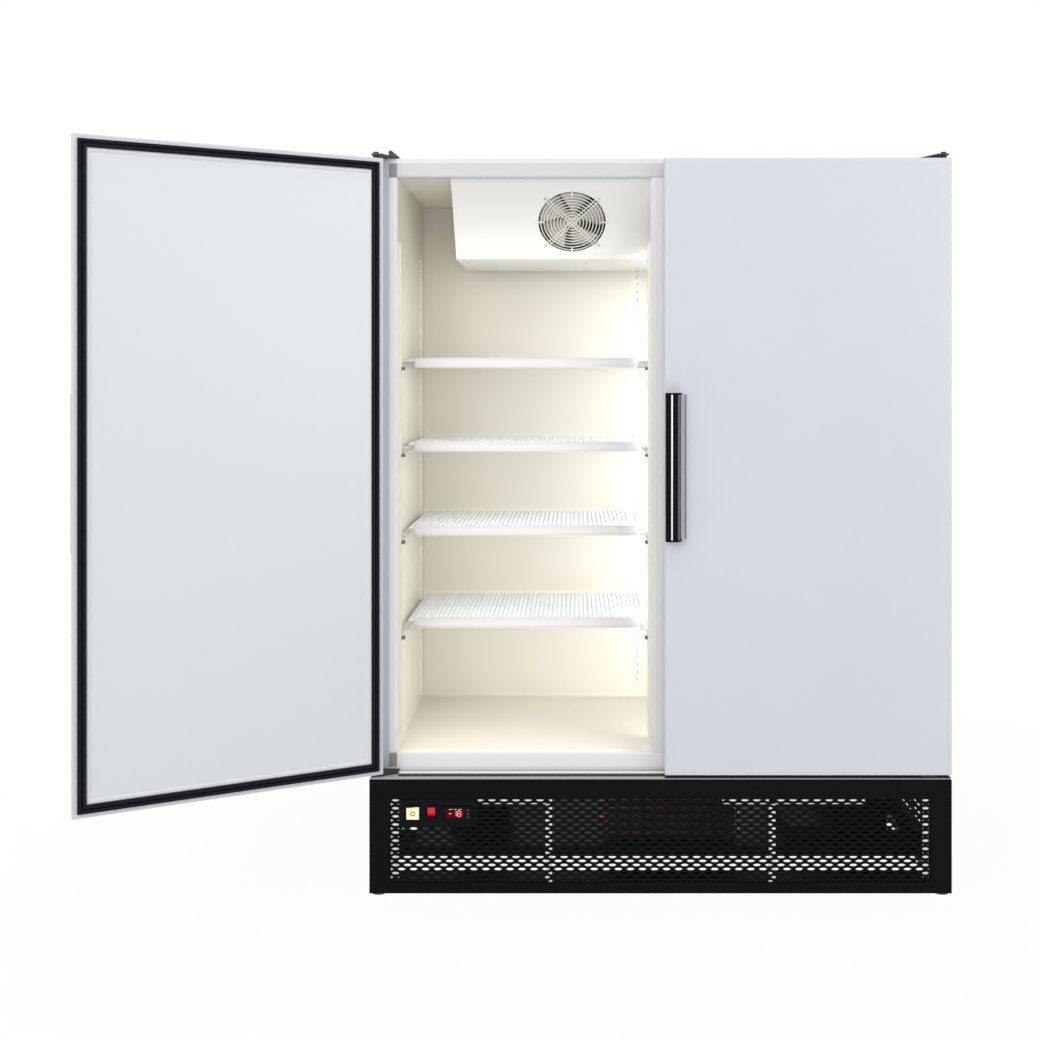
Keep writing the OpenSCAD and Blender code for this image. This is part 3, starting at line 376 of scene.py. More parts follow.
PAINT = make_paint()
DRAWN = make_drawn_metal()
MOULDED = make_moulded()
DUST = make_dust()
print("effects:", len(bpy.data.node_groups))

# %% [markdown]
# ## Finishes
# A finish starts from its plain colour and roughness and sends them through its effects. Values that
# are the same all over, such as how metallic it is, are set on the shader itself.

# %% How a finish is made
FINISHES = {}


def finish(name, colour, roughness, effects, **shader_values):
    """A material whose colour, roughness and normal pass through a chain of effects, kept by its name."""
    material = bpy.data.materials.new(name)
    FINISHES[name] = material
    material.use_nodes = True
    tree = material.node_tree
    shader = tree.nodes["Principled BSDF"]
    for socket, value in shader_values.items():
        shader.inputs[socket].default_value = value
    shape = tree.nodes.new("ShaderNodeNewGeometry")
    feed = {"Color": (*colour, 1), "Roughness": roughness, "Normal": shape.outputs["Normal"]}
    for group, sizes in effects:
        node = tree.nodes.new("ShaderNodeGroup")
        node.node_tree = group
        for socket, value in (feed | sizes).items():
            fed(tree, node.inputs[socket], value)
        feed = {socket: node.outputs[socket] for socket in feed}
    for socket, target in (("Color", "Base Color"), ("Roughness", "Roughness"), ("Normal", "Normal")):
        tree.links.new(feed[socket], shader.inputs[target])
    return material


def painted(name, colour, roughness=0.32, patches=0.05, pebble=0.00005, dust=None, **values):
    """Spray paint, with dust of a given reach and amount if it stands low down."""
    effects = [(PAINT, {"Patches": patches, "Pebble": pebble})]
    if dust:
        effects.append((DUST, {"Reach": dust[0], "Amount": dust[1]}))
    return finish(name, colour, roughness, effects, **values)


def bare_metal(name, colour, roughness=0.38, streaks=0.25, bloom=0.2):
    """Metal without paint."""
    effects = [(DRAWN, {"Streaks": streaks, "Bloom": bloom})]
    return finish(name, colour, roughness, effects, Metallic=1.0)


def moulded(name, colour, roughness=0.45, grain=0.00004, rubbed=0.2, dust=None, **values):
    """Moulded plastic or rubber."""
    effects = [(MOULDED, {"Grain": grain, "Rubbed": rubbed})]
    if dust:
        effects.append((DUST, {"Reach": dust[0], "Amount": dust[1]}))
    return finish(name, colour, roughness, effects, **values)


# %% [markdown]
# ### The colours of this cabinet
# The doors and sides are a cool white, the liner a warm cream, and the base and controls black. A colour is
# the one that the surface has in plain light. The blacks reflect less than bare plastic would, because
# their fine texture swallows the gloss.

# %% The finishes of this cabinet
DULL = {"Specular IOR Level": 0.06}
COATED = {"Coat Weight": 0.5}
ROCKER_GLOW = 0.35


def glow(colour, strength):
    """The settings by which a finish also shines."""
    return {"Emission Color": (*colour, 1), "Emission Strength": strength}


white_paint = painted("white_paint", (0.66, 0.68, 0.73), 0.3)
# Painted light: frame_white is a lighter copy of white_paint, for the shade on the recessed face rails.
frame_white = painted("frame_white", (0.78, 0.79, 0.80), 0.34, patches=0.02)
painted("liner_cream", (0.84, 0.81, 0.725), 0.4, patches=0.03)
panel_paint = painted("panel_white", (0.715, 0.735, 0.77), 0.3, patches=0.0)
painted("cover_white", (0.86, 0.85, 0.83), 0.4, patches=0.02)
wire_coat = painted("coated_wire", (0.84, 0.85, 0.88), 0.3)
black_paint = painted("black_paint", (0.0040, 0.0040, 0.0045), 0.42, patches=0.3, **DULL)
mesh_paint = painted("mesh_black", (0.0045, 0.0045, 0.0045), 0.5, patches=0.3, **DULL)
painted("hinge_black", (0.015, 0.015, 0.016), 0.38, patches=0.4)
painted("ledge_grey", (0.42, 0.43, 0.45), 0.4)
painted("motor_grey", (0.06, 0.065, 0.07), 0.45)
guard_coat = painted("guard_wire", (0.78, 0.77, 0.72), 0.35)
bare_metal("galvanised", (0.62, 0.63, 0.65), 0.42, 0.08, 0.16)
zinc = bare_metal("zinc", (0.68, 0.68, 0.66), 0.36, 0.2, 0.2)
aluminium = bare_metal("aluminium", (0.74, 0.75, 0.76), 0.34)
dark_fins = bare_metal("dark_fins", (0.16, 0.16, 0.16), 0.5)
copper = bare_metal("copper", (0.72, 0.36, 0.20), 0.32)
gasket_rubber = moulded("gasket_black", (0.012, 0.013, 0.018), 0.5, **DULL)
foot_rubber = moulded("foot_rubber", (0.03, 0.03, 0.03), 0.7, dust=(0.06, 0.5))
moulded("control_black", (0.006, 0.006, 0.007), 0.42, **DULL)
grip_plastic = moulded("handle_black", (0.004, 0.004, 0.006), 0.3, **DULL)
fan_plastic = moulded("fan_black", (0.05, 0.05, 0.052), 0.4)
moulded("key_grey", (0.03, 0.03, 0.033), 0.6)
painted("break_plastic", (0.90, 0.90, 0.90), 0.4, patches=0.02)
painted("price_plastic", (0.54, 0.53, 0.56), 0.3, patches=0.03, **{"Coat Weight": 0.3})
rocker_red = moulded("rocker_red", (0.62, 0.03, 0.03), 0.35, rubbed=0.1, **DULL,
                     **glow((0.70, 0.02, 0.05), ROCKER_GLOW))
rocker_cream = moulded("rocker_cream", (0.86, 0.78, 0.52), 0.3, rubbed=0.1, **COATED,
                       **glow((1, 0.86, 0.5), ROCKER_GLOW))
blade_paint = painted("blade_grey", (0.66, 0.64, 0.58), 0.45, patches=0.1)
# The next three paint light on the grips: highlight on the bead, sheen on the facet, shade on the base edge.
highlight_metal = bare_metal("highlight_trim", (0.90, 0.90, 0.92), 0.2, 0.05, 0.05)
grip_base_plastic = moulded("grip_base", (0.62, 0.61, 0.69), 0.35, rubbed=0.1)
grip_sheen_grey = moulded("grip_sheen_grey", (0.12, 0.12, 0.15), 0.4, rubbed=0.1)
grip_shadow_line = moulded("grip_base_shade_line", (0.26, 0.25, 0.31), 0.5, rubbed=0.1)
moulded("foam", (0.74, 0.64, 0.38), 0.9, grain=0.0002)
moulded("lamp_lens", (0.9, 0.9, 0.84), 0.5, grain=0.00002, rubbed=0.05,
        **glow((1.0, 0.97, 0.90), 1.0))
print("finishes:", len(FINISHES))


# %% [markdown]
# ### Finishes on the frame's parts
# Each part names the finish that it wants, and takes it from the list. Four parts are given one of their
# own, a shade off the finish that they share with others. The face rails and the centre post get lighter
# copies of the white paint: painted light that offsets the shade in the recessed frame.

# %% Coats
SLOT_OF = {part["node"]: part["material_slot"] for part in frame["record"]["subparts"]}


def coat(target, material):
    """Gives a whole object one material."""
    target.data.materials.clear()
    target.data.materials.append(material)


for name, node in nodes.items():
    coat(node, FINISHES[SLOT_OF[name]])
# Painted light: lighter copies of the white paint for the face rails and centre post, which lie in shade.
coat(nodes["face_rails"], frame_white)
coat(nodes["centre_post"], painted("post_white", (0.84, 0.84, 0.84), 0.34))
coat(nodes["intake_grille"], mesh_paint)
coat(nodes["pilasters"], bare_metal("pilaster_zinc", (0.80, 0.775, 0.70), 0.62, 0.1, 0.1))
print("parts coated:", len(nodes))

# %% [markdown]
# ## Making surfaces from arrays
# The finer pieces are surfaces worked out as whole arrays of points. Most of them are one of three
# kinds: a profile carried round a rectangle, a circle carried along a path, or a profile turned
# about an axis. The faces between the points come from their places in the array.

# %% Faces, pieces and stacks
def grid(rows, columns, round_rows=False, round_columns=False):
    """Four-sided faces over points numbered row by row; a round grid joins its last row to its first."""
    row = np.arange(rows if round_rows else rows - 1)
    column = np.arange(columns if round_columns else columns - 1)
    row, column = (index.ravel() for index in np.meshgrid(row, column, indexing="ij"))
    below, beside = (row + 1) % rows, (column + 1) % columns
    return np.stack(
        [row * columns + column, below * columns + column, below * columns + beside, row * columns + beside],
        axis=1,
    ).tolist()


def stack(*shapes):
    """Several (points, faces) shapes as one."""
    points, faces, first = [], [], 0
    for shape_points, shape_faces in shapes:
        shape_points = np.reshape(shape_points, (-1, 3))
        points.append(shape_points)
        faces.extend([[first + index for index in face] for face in shape_faces])
        first += len(shape_points)
    return np.concatenate(points), faces


BODY_OF = {
    node: body for body, names in frame["record"]["behaviour"]["bodies"].items() for node in names
}
SHARP_ANGLE, BEVEL_ANGLE, FLAT_ANGLE = (math.radians(angle) for angle in (38, 35, 1))
MERGE_DISTANCE, LOOSE_DISTANCE = 1e-6, 1e-5


def new_piece(name, shape, node, material, smooth=True, replaces=True):
    """A mesh from (points, faces) that rides with a part of the frame and may stand in for it."""
    points, faces = shape
    mesh = bpy.data.meshes.new(name)
    mesh.from_pydata(np.reshape(points, (-1, 3)).tolist(), [], faces)
    work = bmesh.new()
    work.from_mesh(mesh)
    bmesh.ops.remove_doubles(work, verts=work.verts, dist=MERGE_DISTANCE)
    bmesh.ops.recalc_face_normals(work, faces=work.faces)
    work.to_mesh(mesh)
    work.free()
    mesh.materials.append(material)
    piece = bpy.data.objects.new(name, mesh)
    bpy.context.scene.collection.objects.link(piece)
    if smooth:
        mesh.polygons.foreach_set("use_smooth", np.ones(len(mesh.polygons), bool))
        mesh.set_sharp_from_angle(angle=SHARP_ANGLE)
    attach(piece, BODY_OF[node])
    if replaces:
        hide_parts(node)
    return piece


def edges_rounded(piece, width):
    """Rounds every edge where the faces turn by more than the bevel's angle."""
    bevel = piece.modifiers.new("rounded_edges", "BEVEL")
    bevel.width = width
    bevel.segments = 2
    bevel.limit_method = "ANGLE"
    bevel.angle_limit = BEVEL_ANGLE
    bevel.harden_normals = True


def sheet_wall(piece, thickness):
    """Gives a surface the thickness of its sheet, half of it to each side."""
    wall = piece.modifiers.new("sheet", "SOLIDIFY")
    wall.thickness = thickness
    wall.offset = 0


def finer_copy(node, width):
    """A copy of a plain part with its loose triangles joined and its edges rounded."""
    source = nodes[node]
    work = bmesh.new()
    work.from_mesh(source.data)
    bmesh.ops.remove_doubles(work, verts=work.verts, dist=LOOSE_DISTANCE)
    bmesh.ops.dissolve_limit(work, angle_limit=FLAT_ANGLE, verts=work.verts, edges=work.edges)
    points = np.array([vertex.co for vertex in work.verts])
    work.verts.index_update()
    faces = [[vertex.index for vertex in face.verts] for face in work.faces]
    work.free()
    edges_rounded(new_piece(node + "_finished", (points, faces), node, source.data.materials[0]), width)


# %% [markdown]
# ### Profiles, rods and turned forms
# Folded sheet, wire and turned metal are all a small outline that is carried somewhere. Curves with a
# bevel could do it one by one, but arrays make hundreds of wires at once and keep the faces few.

# %% Profiles carried round a rectangle
def carried_round(profile, low, high, closed):
    """A profile of (inset, depth) carried round the rectangle low-high in X and Z, with mitred corners."""
    inset, depth = np.asarray(profile, float).T
    at_high_x, at_high_z = np.array([0, 1, 1, 0]), np.array([0, 0, 1, 1])
    x = np.where(at_high_x[:, None], high[0] - inset, low[0] + inset)
    z = np.where(at_high_z[:, None], high[2] - inset, low[2] + inset)
    points = np.stack([x, np.broadcast_to(depth, x.shape), z], axis=-1)
    count = len(inset)
    faces = grid(4, count, True, closed)
    if not closed:
        faces += [[0, count, 2 * count, 3 * count], [4 * count - 1, 3 * count - 1, 2 * count - 1, count - 1]]
    return points, faces


# %% Rods and tubes
def unit(directions):
    """Each vector over its own length."""
    return directions / np.linalg.norm(directions, axis=-1, keepdims=True)


def rods(starts, ends, radius, sides=6, up=(0, 0, 1)):
    """Straight rods: each end carries a circle of points, square to the rod."""
    starts, ends = np.atleast_2d(starts).astype(float), np.atleast_2d(ends).astype(float)
    side = unit(np.cross(unit(ends - starts), up))
    lift = np.cross(side, unit(ends - starts))
    turn = np.linspace(0, 2 * np.pi, sides, endpoint=False)[:, None]
    circle = radius * (np.cos(turn) * side[:, None] + np.sin(turn) * lift[:, None])
    points = np.stack([starts[:, None] + circle, ends[:, None] + circle], axis=1)
    one = grid(2, sides, False, True) + [list(range(sides)), list(range(2 * sides - 1, sides - 1, -1))]
    faces = [[rod * 2 * sides + index for index in face] for rod in range(len(starts)) for face in one]
    return points, faces


def tube(path, radius, sides=8, closed=False, up=(0, 0, 1)):
    """A bent rod: each point of the path carries a circle of points, square to the path there."""
    path = np.asarray(path, float)
    ahead = np.roll(path, -1, 0) - np.roll(path, 1, 0) if closed else np.gradient(path, axis=0)
    side = unit(np.cross(unit(ahead), up))
    lift = np.cross(side, unit(ahead))
    turn = np.linspace(0, 2 * np.pi, sides, endpoint=False)[:, None]
    points = path[:, None] + radius * (np.cos(turn) * side[:, None] + np.sin(turn) * lift[:, None])
    faces = grid(len(path), sides, closed, True)
    if not closed:
        faces += [list(range(sides)), list(range(len(path) * sides - 1, (len(path) - 1) * sides - 1, -1))]
    return points, faces


# %% Turned forms and boxes
def turned(profile, sides=40):
    """A form turned about Z: each (radius, height) of the profile goes round a circle."""
    radius, height = np.asarray(profile, float).T
    turn = np.linspace(0, 2 * np.pi, sides, endpoint=False)
    points = np.stack(
        [np.outer(radius, np.cos(turn)), np.outer(radius, np.sin(turn)), np.outer(height, np.ones(sides))],
        axis=-1,
    )
    return points, grid(len(radius), sides, False, True)


def blocks(lows, highs):
    """Boxes between opposite corners: corner c takes low or high on each axis by the bits of c."""
    lows, highs = np.atleast_2d(lows).astype(float), np.atleast_2d(highs).astype(float)
    bits = (np.arange(8)[:, None] >> np.arange(3)) & 1
    points = np.where(bits[None] == 1, highs[:, None], lows[:, None])
    one = [[0, 2, 3, 1], [4, 5, 7, 6], [0, 1, 5, 4], [2, 6, 7, 3], [0, 4, 6, 2], [1, 3, 7, 5]]
    faces = [[block * 8 + index for index in face] for block in range(len(lows)) for face in one]
    return points, faces


def placed(shape, origin, x=(1, 0, 0), z=(0, 0, 1)):
    """A shape moved so that its own X and Z axes lie along the given directions."""
    x, z = np.asarray(x, float), np.asarray(z, float)
    points = np.reshape(shape[0], (-1, 3)) @ np.stack([x, np.cross(z, x), z]) + np.asarray(origin, float)
    return points, shape[1]


# %% Outlines drawn straight up
def softened(outline, radius, steps=4):
    """A closed outline with each corner P cut back by the radius and bent through a curve:
    (1-t)^2 * start + 2t(1-t) * P + t^2 * end."""
    outline = np.asarray(outline, float)
    before = unit(np.roll(outline, 1, 0) - outline)
    after = unit(np.roll(outline, -1, 0) - outline)
    radius = np.broadcast_to(radius, len(outline))[:, None, None]
    t = np.linspace(0, 1, steps)[None, :, None]
    start, end = outline[:, None] + before[:, None] * radius, outline[:, None] + after[:, None] * radius
    return ((1 - t) ** 2 * start + 2 * t * (1 - t) * outline[:, None] + t**2 * end).reshape(-1, 2)


def drawn_up(outline, low, high):
    """An outline in X and Y carried straight up from one height to another, and closed at both ends."""
    count = len(outline)
    ends = [np.column_stack([outline, np.full(count, height)]) for height in (low, high)]
    faces = grid(2, count, False, True) + [list(range(count)), list(range(2 * count - 1, count - 1, -1))]
    return np.stack(ends), faces


# %% [markdown]
# ## The doors
# Both doors are the same panel, hung on opposite sides. Each piece is made once, as the shut
# right-hand door, and the left one is its mirror image, turned about the hinge pins to where it
# stands open.

# %% The left door's place
hinge = joints["left_door_hinge"]
OPEN_ANGLE = math.radians(hinge["range_deg"][0])


def as_left(shape):
    """The mirror image, turned about the left hinge: x' = px + dx cos a - dy sin a, and likewise for y."""
    points = np.reshape(shape[0], (-1, 3)) * (-1, 1, 1)
    offset = points[:, :2] - hinge["pos_m"][:2]
    turned_x = offset[:, 0] * math.cos(OPEN_ANGLE) - offset[:, 1] * math.sin(OPEN_ANGLE)
    turned_y = offset[:, 0] * math.sin(OPEN_ANGLE) + offset[:, 1] * math.cos(OPEN_ANGLE)
    moved = np.column_stack([turned_x + hinge["pos_m"][0], turned_y + hinge["pos_m"][1], points[:, 2]])
    return moved, [face[::-1] for face in shape[1]]


def on_both_doors(name, part, shape, material, **options):
    """The same piece on both doors."""
    return [
        new_piece(f"{side}_{name}", turn(shape), f"{side}_door_{part}", material, **options)
        for side, turn in (("right", lambda same: same), ("left", as_left))
    ]


# %% [markdown]
# ### Outer skins and linings
# A door is a folded steel pan with small radii along its edges, which catch the light as thin bright
# lines. The pan is one profile carried round the door: front edge, side, back edge, rim, and the step
# down to the lining. The lining's raised border is carried round in the same way.

# %% Skins
skin_low, skin_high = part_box("right_door_skin")
panel_low, panel_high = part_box("right_door_panel")
EDGE_RADIUS = 0.003
FRONT_LAP = 0.02
STEP_DOWN = 0.003
HAIR = 0.0002
rim_width = panel_low[0] - skin_low[0] - HAIR
door_back = skin_high[1]
quarter = np.linspace(0, math.pi / 2, 6)
front_edge = np.column_stack([1 - np.sin(quarter), 1 - np.cos(quarter)]) * EDGE_RADIUS
skin_profile = np.concatenate([
    [(FRONT_LAP, skin_low[1])],
    front_edge + (0, skin_low[1]),
    (front_edge * (1, -1))[::-1] + (0, door_back),
    [(rim_width, door_back), (rim_width, door_back - STEP_DOWN)],
])
pan_shape = carried_round(skin_profile, skin_low, skin_high, closed=False)
on_both_doors("door_pan", "skin", pan_shape, white_paint)
print("door:", round(skin_high[0] - skin_low[0], 3), "m wide")

# %% Linings
BORDER = 0.016
BORDER_RISE = 0.0024
lining_profile = [
    (0.0, door_back - 0.002),
    (0.0, door_back - HAIR),
    (BORDER, door_back - HAIR),
    (BORDER + 0.0012, door_back + BORDER_RISE),
    (BORDER + 0.0078, door_back + BORDER_RISE),
    (BORDER + 0.0102, door_back + HAIR),
    (BORDER + 0.03, door_back),
]
lining_shape = carried_round(lining_profile, panel_low, panel_high, closed=False)
on_both_doors("door_lining", "panel", lining_shape, panel_paint)
print("lining:", round(panel_high[2] - panel_low[2], 3), "m high")

# %% [markdown]
# ### Door seals
# The seal is an extrusion with a flat foot, a hollow outer rib with the magnet in it, and a softer
# inner rib. It is welded at the corners, so its profile is carried round with plain mitres.

# %% Seals
seal_low, seal_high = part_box("right_door_gasket")
seal_depth = seal_high[1] - seal_low[1]
SEAL_OUTLINE = [
    (0.0, 0.0), (0.021, 0.0), (0.021, 0.003), (0.0200, 0.0036), (0.0200, 0.0078), (0.0128, 0.0078),
    (0.0120, 0.0034), (0.0100, 0.0030), (0.0090, 0.0034), (0.0090, seal_depth), (0.0010, seal_depth),
    (0.0006, 0.0036),
]
SEAL_RADII = [0.0002, 0.0002, 0.0008, 0.0005, 0.0018, 0.0018, 0.0008, 0.0006, 0.0008, 0.0024, 0.0024,
              0.0006]
seal_profile = softened(SEAL_OUTLINE, SEAL_RADII, 5) + (0, seal_low[1])
seal_shape = carried_round(seal_profile, seal_low, seal_high, closed=True)
on_both_doors("door_seal", "gasket", seal_shape, gasket_rubber)
print("points round the seal:", len(seal_profile))

# %% [markdown]
# ### Grips
# The grip is a glossy black extrusion on a pale base strip, with a cap at either end. A polished bead along
# its front is a painted highlight, a grey facet along its far edge a painted sheen, and a fine darker line
# along the base strip's edge painted shade. All of them are outlines seen from above, drawn straight up, as
# the real extrusion is.

# %% Grips
grip_low, grip_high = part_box("right_door_handle")
GRIP_OUTLINE = [
    (0.0, 0.0), (0.0, 0.030), (0.003, 0.034), (0.0105, 0.034), (0.013, 0.0305), (0.019, 0.0305),
    (0.021, 0.034), (0.033, 0.034), (0.039, 0.030), (0.041, 0.0245), (0.036, 0.0245), (0.033, 0.027),
    (0.016, 0.027), (0.009, 0.020), (0.009, 0.0),
]
BASE_DEPTH = 0.0038
GRIP_ROUNDING, CAP_ROUNDING, BASE_ROUNDING = 0.0011, 0.0022, 0.0014


def door_outline(outline, radius):
    """An outline of (along the door, out of the door), softened and set on the door's face."""
    soft = softened(outline, radius)
    return np.column_stack([grip_low[0] + soft[:, 0], grip_high[1] - BASE_DEPTH - soft[:, 1]])


END_CAP = 0.005
CAP_OUTLINE = [(0.0, 0.0), (0.0, 0.030), (0.003, 0.034), (0.033, 0.034), (0.041, 0.026), (0.047, 0.0)]
grip_outline = door_outline(GRIP_OUTLINE, GRIP_ROUNDING)
cap_outline = door_outline(CAP_OUTLINE, CAP_ROUNDING)
grip_shape = stack(
    drawn_up(grip_outline, grip_low[2] + END_CAP / 2, grip_high[2] - END_CAP / 2),
    drawn_up(cap_outline, grip_low[2], grip_low[2] + END_CAP),
    drawn_up(cap_outline, grip_high[2] - END_CAP, grip_high[2]),
)
on_both_doors("door_grip", "handle", grip_shape, grip_plastic)
print("grip:", round(grip_high[2] - grip_low[2], 3), "m long")

# %% Base strips of the grips
base_width = grip_high[0] - grip_low[0]
base_corners = [(0, 0), (base_width, 0), (base_width, BASE_DEPTH), (0, BASE_DEPTH)]
base_outline = softened(base_corners, BASE_ROUNDING) * (1, -1) + (grip_low[0], grip_high[1])
on_both_doors("grip_base", "handle", drawn_up(base_outline, grip_low[2], grip_high[2]), grip_base_plastic)
print("base strip:", round(base_width, 3), "m wide")

# %% Painted highlight, sheen and shade on the grips
# Painted light: the bead is a highlight, the facet a sheen, and the base rib a shadow line.
SLIM_PARTS = (
    ("grip_bead", [(0.0136, 0.0315), (0.0186, 0.0315), (0.0186, 0.0347), (0.0136, 0.0347)], 0.0014, highlight_metal),
    ("grip_facet", [(0.0318, 0.0330), (0.0376, 0.0305), (0.0379, 0.0313), (0.0321, 0.0343)], 0.0002,
     grip_sheen_grey),
    ("grip_base_rib", [(0.0535, -0.001), (0.0583, -0.001), (0.0583, 0.0008), (0.0535, 0.0008)], 0.0003,
     grip_shadow_line),
)
for name, outline, radius, material in SLIM_PARTS:
    shape = drawn_up(door_outline(outline, radius), grip_low[2] + END_CAP, grip_high[2] - END_CAP)
    on_both_doors(name, "handle", shape, material)
print("slim parts:", len(SLIM_PARTS))

# %% [markdown]
# ## Wire shelves
# A shelf is a net of thin wires welded both ways over a stouter rim. From the front it shows as a
# fine slanting hatch, which needs the real number of wires. Each wire has six sides, which is enough
# for something three millimetres thick.

# %% Shelf nets
RIM_RADIUS = 0.003
WIRE_RADIUS = 0.0016
WIRE_PITCH = 0.0133
CROSS_DROP = 0.0025


def points_at(x, y, z):
    """Points from numbers or lists for each axis, with a single number used for all of them."""
    return np.column_stack(np.broadcast_arrays(x, y, z))


def shelf_net(low, high):
    """Rim bars, wires from front to back on top of them, and cross wires welded beneath those."""
    x0, x1 = low[0] + RIM_RADIUS, high[0] - RIM_RADIUS
    y0, y1 = low[1] + RIM_RADIUS, high[1] - RIM_RADIUS
    rim_z, top_z = low[2] + RIM_RADIUS, high[2] - WIRE_RADIUS
    along = np.linspace(x0, x1, round((x1 - x0) / WIRE_PITCH) + 1)[1:-1]
    across = np.linspace(y0, y1, round((y1 - y0) / WIRE_PITCH) + 1)[1:-1]
    bars_y, cross_z = [y0, (y0 + y1) / 2, y1], top_z - CROSS_DROP
    return stack(
        rods(points_at(along, low[1], top_z), points_at(along, high[1], top_z), WIRE_RADIUS),
        rods(points_at(x0, across, cross_z), points_at(x1, across, cross_z), WIRE_RADIUS),
        rods(points_at([x0, x1], low[1], rim_z), points_at([x0, x1], high[1], rim_z), RIM_RADIUS, 10),
        rods(points_at(x0, bars_y, rim_z), points_at(x1, bars_y, rim_z), RIM_RADIUS, 10),
    )


left_nets = []
for number in range(1, 5):
    node = f"left_shelf_{number}"
    low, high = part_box(node)
    left_nets.append(shelf_net(low, high))
    new_piece(f"left_net_{number}", left_nets[-1], node, wire_coat)
right_nets = [(net[0] * (-1, 1, 1), net[1]) for net in left_nets]
new_piece("right_nets", stack(*right_nets), "right_shelves", wire_coat)
print("faces in a shelf:", len(left_nets[0][1]))

# %% [markdown]
# ### Pilasters
# A pilaster is a slotted channel, and its inside lies in shade, so the slots read as a dotted line. A
# dark block inside each channel is that shade, painted, and the plain model keeps its slots.

# %% Painted shade inside the pilasters
post_low, post_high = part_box("pilasters")
POST_WIDTH, POST_DEPTH, INSET, END_INSET = 0.020, 0.0078, 0.0018, 0.004
REAR_POST_Y = 0.185
CENTRE_POST_X = -0.0290
WALL_POST_X = -0.040
# Painted shade: the dark blocks stand in for the shade inside the channels.
channel_shade_dark = moulded("channel_painted_shade", (0.34, 0.33, 0.30), 0.6, rubbed=0.1, **DULL)
post_places = [(x, x + POST_DEPTH, y, y + POST_WIDTH) for x, y in (
    (post_low[0], post_low[1]), (post_low[0], REAR_POST_Y), (CENTRE_POST_X, post_low[1]))]
post_places += [(WALL_POST_X, WALL_POST_X + POST_WIDTH, post_high[1] - POST_DEPTH, post_high[1])]
post_places += [(-x1, -x0, y0, y1) for x0, x1, y0, y1 in post_places]
hollow_low = [(x0 + INSET, y0 + INSET, post_low[2] + END_INSET) for x0, x1, y0, y1 in post_places]
hollow_high = [(x1 - INSET, y1 - INSET, post_high[2] - END_INSET) for x0, x1, y0, y1 in post_places]
new_piece("channel_shade_blocks", blocks(hollow_low, hollow_high), "pilasters", channel_shade_dark, smooth=False,
          replaces=False)
print("pilasters:", len(post_places))

# %% [markdown]
# ### Clips
# Each runner ends on a small clip that hooks into the slots beneath it. The clip is real; its dark colour
# is painted shade, for the shade under the runner. From the camera a clip is three or four pixels high,
# so a plain block in its place is enough.

# %% Clips under the runners
runner_low, runner_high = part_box("shelf_runners")
CLIP_SIZE = np.array([0.010, 0.012, 0.009])
RUNNER_DROP = 0.018
SIDE_GAP, CENTRE_GAP, FRONT_GAP = 0.0024, 0.0268, 0.002
clip_x = (runner_low[0] + SIDE_GAP, -CENTRE_GAP - CLIP_SIZE[0], CENTRE_GAP,
          runner_high[0] - SIDE_GAP - CLIP_SIZE[0])
clip_z = [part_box(f"left_shelf_{number}")[0][2] - RUNNER_DROP - CLIP_SIZE[2] for number in range(1, 5)]
clip_low = np.array([(x, runner_low[1] + FRONT_GAP, z) for z in clip_z for x in clip_x])
# Painted shade: the clips take the dark fin finish for the shade under the runners.
new_piece("shelf_clips", blocks(clip_low, clip_low + CLIP_SIZE), "shelf_runners", dark_fins, smooth=False,
          replaces=False)
print("clips:", len(clip_low))

# %% [markdown]
# ## Fans and guards
# Each fan blows out through a hole in the sloping cover, behind a guard of pale wire rings. Bent curves
# could give the rings, but here they are arrays, made flat at the origin, and one turn and one move puts
# the whole guard on the fan's axis, which the frame gives as the axis of its joint.

# %% Sizes of a guard
evaporator_fans = {side: joints[f"evaporator_fan_{side}_spin"] for side in ("left", "right")}
GUARD_RADIUS = 0.102
RINGS_REACH = 0.090
RING_COUNT = 9
RING_WIRE = 0.0016
FIRST_RING = 0.014
RING_LIFT = 0.0025
BRACE_SPLIT = 0.0045
BRACE_LIFT = 0.0044
BRACE_WIRE = RING_WIRE * 1.15
TAB_PLACE = 0.091
TAB_LENGTH = 0.0085
TAB_HALF_WIDTH = 0.0025
TAB_LOW, TAB_HIGH = 0.0003, 0.0014
print("across a guard:", 2 * GUARD_RADIUS, "m")


# %% Guards
def guard_shape():
    """Rings at equal steps, two crossing pairs of wires in front of them, and four short straight tabs.
    A wire of a pair runs along its diagonal, the split to one side of it."""
    turn = np.linspace(0, 2 * np.pi, 72, endpoint=False)
    circle = np.column_stack([np.cos(turn), np.sin(turn), 0 * turn])
    rings = [tube(circle * radius + (0, 0, RING_LIFT), RING_WIRE, closed=True)
             for radius in np.linspace(FIRST_RING, RINGS_REACH, RING_COUNT)]
    aim = np.array([(math.cos(a), math.sin(a), 0) for a in (math.pi / 4, 3 * math.pi / 4)])
    aside = np.column_stack([-aim[:, 1], aim[:, 0], aim[:, 2]]) * BRACE_SPLIT
    start = np.concatenate([-aim * GUARD_RADIUS + aside, -aim * GUARD_RADIUS - aside]) + (0, 0, BRACE_LIFT)
    end = np.concatenate([aim * GUARD_RADIUS + aside, aim * GUARD_RADIUS - aside]) + (0, 0, BRACE_LIFT)
    braces = rods(start, end, BRACE_WIRE, 8)
    away = np.array([(1, 0), (0, 1), (-1, 0), (0, -1)])
    middle, half = away * TAB_PLACE, np.abs(away) * TAB_LENGTH + TAB_HALF_WIDTH
    tabs = blocks(points_at(*(middle - half).T, TAB_LOW), points_at(*(middle + half).T, TAB_HIGH))
    return stack(*rings, braces, tabs)


guard = guard_shape()
guards = [placed(guard, spin["pos_m"], z=spin["axis"]) for spin in evaporator_fans.values()]
new_piece("wire_guards", stack(*guards), "fan_guards", guard_coat)
print("rings in a guard:", RING_COUNT)

